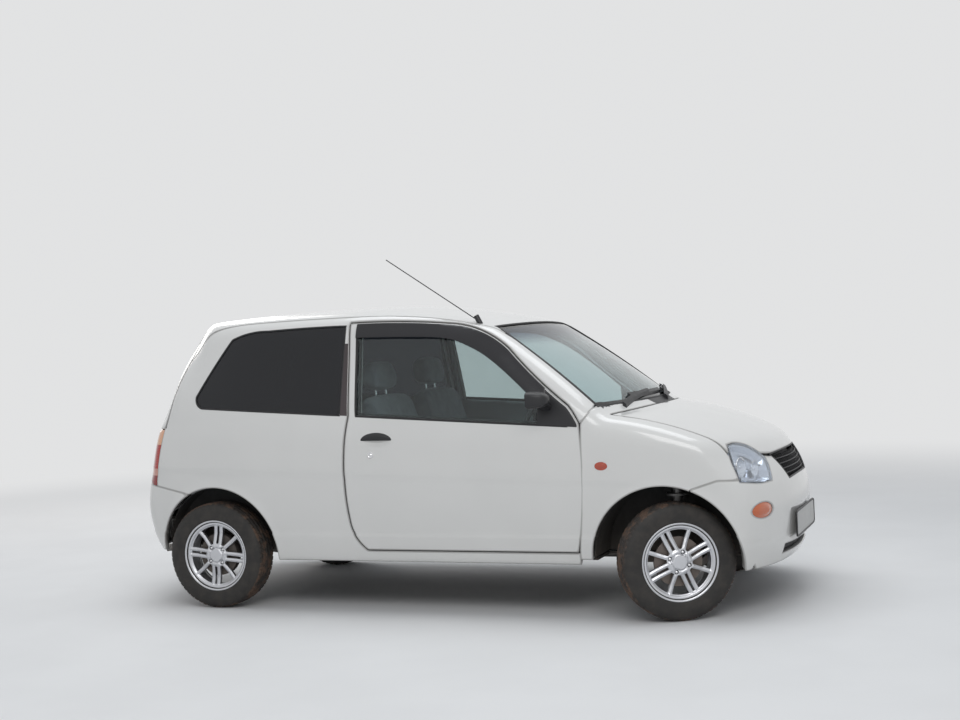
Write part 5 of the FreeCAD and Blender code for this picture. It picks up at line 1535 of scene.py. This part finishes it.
# Grille
bars = []
for level in (616, 640, 664, 688):
    y = np.linspace(-(232 + 0.7 * (level - 592)), 232 + 0.7 * (level - 592), 60)
    line = settle(on_nose(y, 0 * y + level), -12)
    bars.append(carried(line, rounded(5, 12, 3, 12), normals_at(line)))
for place in range(-280, 281, 28):
    reach = np.linspace(597, 708, 14)
    wide = np.abs(place) < 232 + 0.7 * (reach - 592) - 6
    if wide.sum() > 3:
        line = settle(on_nose(0.0 * reach[wide] + place, reach[wide]), -20)
        bars.append(carried(line, rounded(4, 10, 3, 10), normals_at(line)))
closed_piece("grille_bars", joined(*bars), "car_body", "black_trim", BLACK, ("grille",))
seal("grille_surround", GRILLE, on_nose, "car_body", None, rounded(9, 10, 3, 12, -4), BLACK)
back_plate = sheet_mesh(
    over(nose_rays, 42), (-440, 440), (60, 400), 12, seen(GRILLE, 1, 2, 30), rim=1, depth=0
)
sheet("grille_back", back_plate, "car_body", "black_trim", RUBBER, wall=2)


def intake_back_region(p):
    """Backing of the slot under the plate."""
    _, y, z = split(p)
    return all_of(y - 350, 238 - z, z - 314)


intake_back = sheet_mesh(over(nose_rays, 22), (-440, 440), (-330, 0), 12, intake_back_region, rim=1, depth=0)
sheet("intake_back", intake_back, "car_body", "black_trim", RUBBER, wall=2)

# Turn lamps, repeaters and front plate
def oval_lens(centre, half, axis, grow=0):
    """Region inside an oval, read along x or y against z."""
    def region(p):
        x, y, z = split(p)
        return oval_gap(x if axis == "x" else y, z, centre, half) - grow

    return region


def dome(height):
    """Crown of a small lens: rises by height over its rim."""
    return lambda p, distance: height * ease(distance, 0, 16)


turn_lens = sheet_mesh(
    over(nose_rays, 3),
    (-690, -330),
    (-60, 130),
    4,
    oval_lens(CORNER_LAMP, CORNER_LAMP_HALF, "y"),
    rim=2,
    depth=10,
    press=dome(6),
)
turn_bowl = sheet_mesh(
    over(nose_rays, 8),
    (-710, -310),
    (-80, 150),
    6,
    oval_lens(CORNER_LAMP, CORNER_LAMP_HALF, "y", 8),
    rim=1,
    depth=0,
)
repeater = sheet_mesh(
    over(flank_rays, -3),
    (860, 950),
    (0, 110),
    3.5,
    oval_lens((905.5, 704), (28, 17), "x"),
    rim=2,
    depth=8,
    press=dome(5),
)
for side_name, sign in SIDES:
    sheet(f"turn_lens_{side_name}", turn_lens, "car_body", "lamp_amber", AMBER_LENS, ("indicators",), 2, sign)
    sheet(f"turn_recess_{side_name}", turn_bowl, "car_body", "black_trim", SHADED_JAMB, (), 1.2, sign)
    sheet(f"repeater_{side_name}", repeater, "car_body", "lamp_amber", RED_REPEATER, ("indicators",), 2, sign)


def rounded_plate(wide, high, corner, thick, centre, bulge=0.0):
    """A flat plate with rounded corners and softened edges: nested outlines across the thickness."""
    turn = np.arange(64) * 2 * math.pi / 64
    c, s = np.cos(turn), np.sin(turn)
    power = 0.16
    shape = np.stack([np.sign(c) * np.abs(c) ** power, np.sign(s) * np.abs(s) ** power], 1)
    steps = (
        (0.02, thick + bulge),
        (0.6, thick + bulge * 0.6),
        (1 - corner, thick),
        (1.0, thick * 0.7),
        (1.0, 0.0),
        (0.02, 0.0),
    )
    rows = [
        np.stack(
            [
                0 * c + centre[0] + d,
                centre[1] + shape[:, 0] * wide / 2 * k,
                centre[2] + shape[:, 1] * high / 2 * k,
            ],
            1,
        )
        for k, d in steps
    ]
    grid = np.stack(rows)
    ends = [np.array([np.arange(64)]), np.array([np.arange(64) + 64 * (len(steps) - 1)])]
    return grid.reshape(-1, 3), [grid_faces(len(steps), 64, False, True)] + ends


PLATE_AT = (1693.0, 0.0, 378.0)
closed_piece("plate_blank", rounded_plate(512, 108, 0.03, 2.0, PLATE_AT), "car_body", "black_trim", PLATE)
u = np.linspace(0, 2 * math.pi, 120, endpoint=False)
frame_line = np.stack(
    [
        0 * u + PLATE_AT[0],
        np.sign(np.cos(u)) * np.abs(np.cos(u)) ** 0.14 * 260,
        PLATE_AT[2] + np.sign(np.sin(u)) * np.abs(np.sin(u)) ** 0.14 * 58,
    ],
    1,
)
closed_piece(
    "plate_frame",
    carried(frame_line, rounded(10, 9, 3, 10), (1.0, 0.0, 0.0), True),
    "car_body",
    "black_trim",
    BLACK,
)
# Wheels, each shaped about its own axle with the outer side at -Y, then set in its place
def soft_min(a, b, width):
    """The smaller of two distances with a fillet of the given width between them."""
    return -smooth_max(-a, -b, width)


def spoke_distance(p):
    """Face of the rim: hub, ring, four pairs of parallel spokes and four single ones between."""
    x, z = p[..., 0], p[..., 2]
    r = np.hypot(x, z)
    shape = soft_min(r - 57, 149 - r, 1)
    for turn in np.arange(4) * math.pi / 2:
        along = x * math.cos(turn) + z * math.sin(turn)
        across = -x * math.sin(turn) + z * math.cos(turn)
        for offset in (-15, 15):
            bar = np.maximum(np.abs(across - offset) - 6.4 - 0.012 * np.maximum(along - 60, 0), 40 - along)
            shape = soft_min(shape, bar, 7)
        along = x * math.cos(turn + math.pi / 4) + z * math.sin(turn + math.pi / 4)
        across = -x * math.sin(turn + math.pi / 4) + z * math.cos(turn + math.pi / 4)
        shape = soft_min(shape, np.maximum(np.abs(across) - 7.2, 40 - along), 8)
        lug = np.hypot(along - 47, across) - 12
        shape = np.maximum(shape, -lug)
    return np.maximum(shape, r - 165)


def dish(r):
    """Depth of the rim's face at a radius."""
    radii = (0, 34, 36, 39, 41, 60, 78, 112, 150, 160, 166)
    depths = (-60, -60, -53, -53, -60, -58, -54, -49, -53, -58, -62)
    return np.interp(r, radii, depths)


def face_lay(a, b):
    """The rim's face over a flat grid."""
    return np.stack([a, dish(np.hypot(a, b)), b], -1)


def outboard(p):
    """Outward direction of the rim's face."""
    return np.zeros_like(p) + (0.0, -1.0, 0.0)


def spoke_form(_p, distance):
    """Crowned spokes: the face falls away towards each edge."""
    return -3.2 * (1 - ease(distance, 0, 6.5)) + 1.2 * ease(distance, 4, 7)


SPOKES = sheet_mesh(
    face_lay,
    (-168, 168),
    (-168, 168),
    3.1,
    spoke_distance,
    rim=2.2,
    depth=17,
    press=spoke_form,
    normals=outboard,
)
BARREL = (
    (178, -66),
    (176.5, -67.5),
    (172, -66.5),
    (166, -60),
    (161, -50),
    (156, -40),
    (152, -20),
    (150, 10),
    (154, 30),
    (164, 52), (172, 64), (176.5, 67), (178, 66), (176, 60), (167, 55), (160, 44), (154, 30), (153.5, 8),
    (156, -18), (161, -44), (167, -54), (175, -60),
)
CAP = ((0.01, -61.5), (12, -61.4), (24, -60.6), (31, -59.2), (34, -57), (34.5, -54), (34, -46), (0.01, -46))
NUT = ((0.01, 11), (4, 11), (6.5, 9.5), (8.2, 7), (8.4, 0), (11, -1), (11, -4), (0.01, -4))


def rim_trim():
    """Barrel and centre cap, and the four nuts."""
    nuts = []
    for turn in math.pi / 4 + np.arange(4) * math.pi / 2:
        place = (47 * math.cos(turn), -43, 47 * math.sin(turn))
        nuts.append(stud(place, (0, -1, 0), NUT, 36, 6))
    return joined(turned(BARREL, 128, True), turned(CAP, 64)), joined(*nuts)


def tyre_section():
    """Half section of the tyre from bead to crown, as radius and distance from its middle plane."""
    sidewall = smooth(
        (
            (164.3, 58),
            (168, 63),
            (179, 66.5),
            (184, 69),
            (188, 70.5),
            (212, 74.6),
            (234, 73.6),
            (247, 69.5),
            (256, 64.5),
        ),
        3,
    )
    shoulder = smooth(((256, 64.5), (260.5, 60), (263.3, 56)), 2)[1:]
    crown = np.linspace(54, 0, 25)
    tread = np.stack([266 - 2.6 * (crown / 56) ** 2, crown], 1)
    return np.concatenate([sidewall, shoulder, tread])


def tread_cut(turn, radius, across):
    """Depth of the tread's grooves: two rings each side, slanted sipes and shoulder slots."""
    crown = ease(radius, 252, 262)
    rings = 0
    for ring in (15, 41):
        rings = rings + 6.5 * (1 - ease(np.abs(np.abs(across) - ring), 2.2, 4.6))
    pitch = turn * 60 / (2 * math.pi)
    slant = (pitch + 0.016 * np.abs(across) * np.sign(across) + 0.1 * np.sign(across)) % 1
    slot = 1 - ease(np.abs(slant - 0.5), 0.06, 0.13)
    shoulder = 5 * slot * ease(np.abs(across), 42, 46)
    sipes = 3.2 * slot * (1 - ease(np.abs(across), 36, 40)) * ease(np.abs(across), 17, 20)
    return -crown * np.maximum(rings, shoulder + sipes)


def tyre_shape():
    """Tyre as a closed shell: outer section with tread, and a liner 9 mm inside it."""
    half = tyre_section()
    outer = np.concatenate([half, (half[:-1] * (1, -1))[::-1]])
    liner = np.concatenate([half[::4] - (9, 0), (half[:-1:4] * (1, -1) - (9, 0))[::-1]])
    liner[:, 1] *= 0.88
    liner[:, 0] = np.maximum(liner[:, 0], 163)
    section = np.concatenate([outer, liner[::-1]])
    kept = np.concatenate([np.ones(len(outer)), np.zeros(len(liner))])

    def cut(turn, radius, across):
        return tread_cut(turn, radius, across) * kept

    points, faces = turned(section, 360, True, cut)
    worn = np.interp(section[:, 0], (200, 240, 258, 262), (0.0, 0.35, 0.75, 0.9)) * kept
    return points, faces, np.tile(worn, 360)


def set_wheel(points, end, sign, spin):
    """A wheel's points in the car: spun, turned to its side, and steered about its kingpin in front."""
    x, y, z = points.T
    c, s = math.cos(spin), math.sin(spin)
    x, z = x * c - z * s, x * s + z * c
    if sign > 0:
        x, y = -x, -y
    y = y + sign * HALF_TRACK
    if end == "front":
        c, s = math.cos(STEER), math.sin(STEER)
        off = y - sign * KINGPIN_Y
        x, y = x * c - off * s, sign * KINGPIN_Y + x * s + off * c
    middle = FRONT_AXLE if end == "front" else REAR_AXLE
    return np.stack([x + middle, y, z + AXLE_HEIGHT], 1)


RIM_BODY, NUTS = rim_trim()
TYRE_POINTS, TYRE_FACES, TREAD = tyre_shape()
SPIN = {"front": math.radians(25), "rear": math.radians(-6)}
for end in ("front", "rear"):
    for side_name, sign in SIDES:
        name = f"{end}_{side_name}"
        body_name = f"wheel_{name}"
        spin = SPIN[end] if sign < 0 else -SPIN[end]
        spokes = link(
            f"spokes_{name}", set_wheel(SPOKES[0], end, sign, spin), SPOKES[1], body_name, "alloy", ALLOY,
            (f"rim_{name}",), {"edge": SPOKES[2] * MM},
        )
        walled(spokes, 2.5)
        for label, shape, material, slot in (
            ("rim", RIM_BODY, ALLOY, "alloy"), ("nuts", NUTS, CHROME, "steel"),
        ):
            placed = (set_wheel(shape[0], end, sign, spin), shape[1])
            closed_piece(f"{label}_{name}_trim", placed, body_name, slot, material)
        placed = (set_wheel(TYRE_POINTS, end, sign, spin), TYRE_FACES)
        closed_piece(
            f"tyre_{name}_tread", placed, body_name, "tyre", TYRE, (f"tyre_{name}",), {"tread": TREAD}
        )
# Cabin
def slab(loop, middle, half, softness, crown=0.0, channels=(), rows=44):
    """A closed padded form: an outline carried across Y, drawn in towards both ends by a
    superellipse of the given softness, crowned in the middle and pinched along its channels."""
    t = np.sin(np.linspace(-math.pi / 2, math.pi / 2, rows))
    loop = np.asarray(loop, float)
    centre = loop.mean(0)
    span = np.abs(loop - centre).max()
    drawn = 1 - softness / span * (1 - (1 - np.abs(t) ** 6) ** (1 / 2.5))
    swell = crown / span * (1 - t**2)
    pinch = sum(0.035 * np.exp(-(((t - place) / 0.022) ** 2)) for place in channels)
    scale = (drawn + swell - pinch)[:, None, None]
    flat = centre + (loop - centre) * scale
    y = middle + half * t[:, None] + 0 * flat[..., 0]
    grid = np.stack([flat[..., 0], y, flat[..., 1]], -1)
    count = len(loop)
    ends = [np.array([np.arange(count)]), np.array([np.arange(count) + count * (rows - 1)])]
    return grid.reshape(-1, 3), [grid_faces(rows, count, False, True)] + ends


def softened(rows, count=9):
    """A closed outline of few corners, rounded by halving its corners twice."""
    loop = np.asarray(rows, float)
    for _ in range(2):
        following = np.roll(loop, -1, 0)
        loop = np.stack([0.8 * loop + 0.2 * following, 0.2 * loop + 0.8 * following], 1).reshape(-1, 2)
    return smooth(loop, count, True)


def padded(name, shape, slot_name, fill, nodes=()):
    """A cushion as a piece."""
    piece = closed_piece(name, shape, "car_body", slot_name, CLOTH, nodes)
    return piece


SEAT_BASE = softened(
    ((-195, 345), (-205, 430), (-150, 462), (60, 468), (250, 488), (284, 462), (278, 400), (235, 352)), 4
)
SEAT_BACK = softened(
    (
        (-240, 425),
        (-120, 462),
        (-160, 600),
        (-222, 780),
        (-268, 920),
        (-305, 1030),
        (-385, 1028),
        (-368, 880),
        (-335, 640),
    ),
    4,
)
HEADREST = softened(((-330, 1066), (-322, 1130), (-350, 1196), (-390, 1202), (-424, 1180), (-412, 1070)), 4)
SEAT_HALF = 232
SEAT_MIDDLE = 320
for side_name, sign in SIDES:
    middle = sign * SEAT_MIDDLE
    seat_name = f"front_seat_{side_name}"
    padded(
        f"{seat_name}_cushion",
        slab(SEAT_BASE, middle, SEAT_HALF, 34, 8, (-0.62, -0.2, 0.2, 0.62)),
        "seat",
        0.7,
        (seat_name,),
    )
    padded(
        f"{seat_name}_back", slab(SEAT_BACK, middle, SEAT_HALF, 40, 8, (-0.6, -0.2, 0.2, 0.6)), "seat", 0.7
    )
    padded(f"{seat_name}_headrest", slab(HEADREST, middle, 128, 34, 6), "seat", 0.8)
    posts = [
        carried(
            smooth(
                (
                    (-366, middle + side * 60, 1015),
                    (-369, middle + side * 60, 1045),
                    (-372, middle + side * 60, 1082),
                ),
                4,
            ),
            rounded(11, 11, 2, 14), (1.0, 0.0, 0.0),
        )
        for side in (-1, 1)
    ]
    rails = [
        carried(
            smooth(
                (
                    (-150, middle + side * 200, 300),
                    (35, middle + side * 200, 296),
                    (220, middle + side * 200, 300),
                ),
                6,
            ),
            rounded(28, 62, 4, 16), (0.0, 0.0, 1.0),
        )
        for side in (-1, 1)
    ]
    closed_piece(f"{seat_name}_posts", joined(*posts), "car_body", "steel", CHROME)
    closed_piece(f"{seat_name}_rails", joined(*rails), "car_body", "dash", DARK_TRIM)
BENCH_BASE = softened(
    ((-605, 462), (-594, 540), (-625, 586), (-800, 572), (-945, 560), (-975, 500), (-965, 462)), 4
)
BENCH_BACK = softened(
    ((-985, 470), (-972, 572), (-1030, 760), (-1098, 985), (-1180, 985), (-1130, 760), (-1085, 470)), 4
)
padded("bench_cushion", slab(BENCH_BASE, 0, 518, 26, 6, (-0.5, 0, 0.5), 60), "seat", 0.7, ("rear_seat",))
padded("bench_back", slab(BENCH_BACK, 0, 518, 28, 6, (-0.5, 0, 0.5), 60), "seat", 0.7)

# Dashboard and steering wheel
DASH = softened(
    (
        (872, 650),
        (872, 900),
        (735, 918),
        (660, 902),
        (628, 868),
        (618, 800),
        (650, 690),
        (690, 642),
        (760, 628),
    ),
    4,
)
HOOD = softened(((716, 900), (700, 958), (655, 964), (632, 940), (628, 880), (650, 850)), 4)
BIN = softened(((660, 790), (622, 800), (618, 872), (640, 884), (690, 880)), 3)
closed_piece("dash_top", slab(DASH, 0, 606, 14, 2, (), 60), "car_body", "dash", DARK_TRIM, ("dashboard",))
closed_piece("dial_hood", slab(HOOD, -330, 148, 26, 3), "car_body", "dash", DARK_TRIM)
closed_piece("passenger_tray", slab(BIN, 330, 190, 12, 0), "car_body", "dash", TRIM)
AXIS = np.array((0.92, 0, -0.392)) / math.hypot(0.92, 0.392)
HUB = np.array((466.5, -330.0, 885.0))
DOWN = np.array((AXIS[2], 0, -AXIS[0]))
WHEEL_TURN = math.radians(-480)


def across_wheel(angle, radius, depth=0.0):
    """Points of the steering wheel: an angle about the column, a radius, and a depth along it."""
    angle = np.asarray(angle, float)[..., None] + WHEEL_TURN
    flat = np.cos(angle) * DOWN + np.sin(angle) * np.array((0.0, 1.0, 0.0))
    return HUB + np.asarray(radius, float)[..., None] * flat + np.asarray(depth, float)[..., None] * AXIS


circle = np.linspace(0, 2 * math.pi, 120, endpoint=False)
ring = carried(across_wheel(circle, 172 + 0 * circle, 2 + 0 * circle), rounded(25, 24, 2.2, 20), AXIS, True)
spokes = []
for angle in np.radians((-75, 0, 75)):
    r = np.linspace(30, 168, 14)
    width = np.interp(r, (30, 90, 168), (52, 34, 26))
    sections = np.stack([rounded(w, 11, 3, 16) for w in width])
    spokes.append(carried(across_wheel(angle + 0 * r, r, 10 * (1 - r / 168)), sections, AXIS))
boss = stud(HUB, -AXIS, ((0.01, 14), (24, 13), (42, 8), (50, 0), (50, -14), (38, -24), (0.01, -24)), 64)
closed_piece("steering_rim", ring, "steering_wheel", "dash", DARK_TRIM, ("steering_wheel",))
closed_piece("steering_spokes", joined(boss, *spokes), "steering_wheel", "dash", DARK_TRIM)
column = stud(HUB + AXIS * 40, AXIS, ((0.01, 0), (24, 0), (30, 6), (34, 60), (36, 165), (0.01, 165)), 40)
closed_piece("column_shroud", column, "car_body", "dash", DARK_TRIM)
# Parts carried over from the frame, with their finishes
CARRIED = (
    (UNDERSEAL, "front_wheel_wells rear_wheel_wells floor_pan front_frame fuel_tank"),
    (SHADED_JAMB, "bulkhead"),
    (BLACK, "wipers cowl_panel antenna"),
    (IRON, "engine_block front_suspension rear_axle"),
    (BRAKE, "knuckle_right knuckle_left"),
    (STEEL, "front_struts exhaust"),
)
for material, names in CARRIED:
    for name in names.split():
        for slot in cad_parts[name].material_slots:
            slot.material = material

# Camera, floor and light
def frame_of(right, up, back, place):
    """A world matrix from three directions and a place."""
    turn = np.eye(4)
    turn[:3, 0], turn[:3, 1], turn[:3, 2], turn[:3, 3] = right, up, back, place
    return Matrix(turn.tolist())


FOCAL_PIXELS = 1462.3
PICTURE_WIDTH = 960
SENSOR_WIDTH = 36
CAMERA_RIGHT = (0.93120, 0.36168, -0.04535)
CAMERA_UP = (0.03458, 0.03620, 0.99875)
CAMERA_BACK = (0.36287, -0.93160, 0.02121)
CAMERA_PLACE = (2.8101, -7.0717, 1.3476)
camera_data = bpy.data.cameras.new("camera")
camera_data.lens = FOCAL_PIXELS / PICTURE_WIDTH * SENSOR_WIDTH
camera = bpy.data.objects.new("camera", camera_data)
camera.matrix_world = frame_of(CAMERA_RIGHT, CAMERA_UP, CAMERA_BACK, CAMERA_PLACE)
scene = bpy.context.scene
scene.collection.objects.link(camera)
scene.camera = camera
scene.view_settings.view_transform = "Standard"
BACKDROP = (0.76, 0.765, 0.77)


def pale_ground():
    """Pale floor that keeps the shadow near the object and runs into the backdrop's colour far off."""
    material = bpy.data.materials.new("pale_floor")
    material.use_nodes = True
    tree = material.node_tree
    shader = tree.nodes["Principled BSDF"]
    place = node(tree, "TexCoord").outputs["Object"]
    tone = mixed(
        tree, between(tree, noise(tree, place, 1.2), 0.3, 0.7), (0.77, 0.77, 0.765), (0.8, 0.8, 0.795)
    )
    tree.links.new(tone, shader.inputs["Base Color"])
    shader.inputs["Roughness"].default_value = 0.8
    far = node(tree, "Emission")
    far.inputs["Color"].default_value = (*BACKDROP, 1)
    distance = node(tree, "VectorMath", {"operation": "LENGTH"}, i0=place).outputs["Value"]
    mask = between(tree, distance, 3.2, 9.0)
    mix = node(tree, "MixShader", None, Fac=mask, i1=shader.outputs[0], i2=far.outputs[0])
    tree.links.new(mix.outputs[0], tree.nodes["Material Output"].inputs["Surface"])
    return material


mesh = bpy.data.meshes.new("floor")
reach = 60.0
mesh.from_pydata(
    [(-reach, -reach, 0), (reach, -reach, 0), (reach, reach, 0), (-reach, reach, 0)], [], [(0, 1, 2, 3)]
)
floor = bpy.data.objects.new("floor", mesh)
mesh.materials.append(pale_ground())
scene.collection.objects.link(floor)

world = bpy.data.worlds.new("world")
scene.world = world
world.use_nodes = True
tree = world.node_tree
soft = tree.nodes["Background"]
soft.inputs["Color"].default_value = (0.86, 0.9, 0.96, 1)
soft.inputs["Strength"].default_value = 0.46
seen = node(tree, "Background")
seen.inputs["Color"].default_value = (*BACKDROP, 1)
path = node(tree, "LightPath")
direct = maths(tree, "MAXIMUM", path.outputs["Is Camera Ray"], path.outputs["Is Glossy Ray"])
direct = maths(tree, "MAXIMUM", direct, path.outputs["Is Transmission Ray"])
mix = node(tree, "MixShader", None, Fac=direct, i1=soft.outputs[0], i2=seen.outputs[0])
tree.links.new(mix.outputs[0], tree.nodes["World Output"].inputs["Surface"])


def lamp(name, place, aim, size, power, colour=(1, 1, 1)):
    """A soft rectangular lamp aimed at a point."""
    data = bpy.data.lights.new(name, "AREA")
    data.shape = "RECTANGLE"
    data.size, data.size_y = size
    data.energy = power
    data.color = colour
    light = bpy.data.objects.new(name, data)
    away = (np.array(place) - np.array(aim)).astype(float)
    away /= np.linalg.norm(away)
    side = np.cross((0, 0, 1), away)
    side /= np.linalg.norm(side)
    light.matrix_world = frame_of(side, np.cross(away, side), away, place)
    scene.collection.objects.link(light)


lamp("key", (3.0, -6.0, 5.4), (0, 0, 0.6), (5, 3), 150)
lamp("sky", (0, 0.4, 6.5), (0, 0, 0), (6, 3.5), 165, (0.94, 0.97, 1))
lamp("back_edge", (-5, 3.5, 3.0), (0, 0, 0.8), (4, 2.5), 55, (1, 0.96, 0.92))
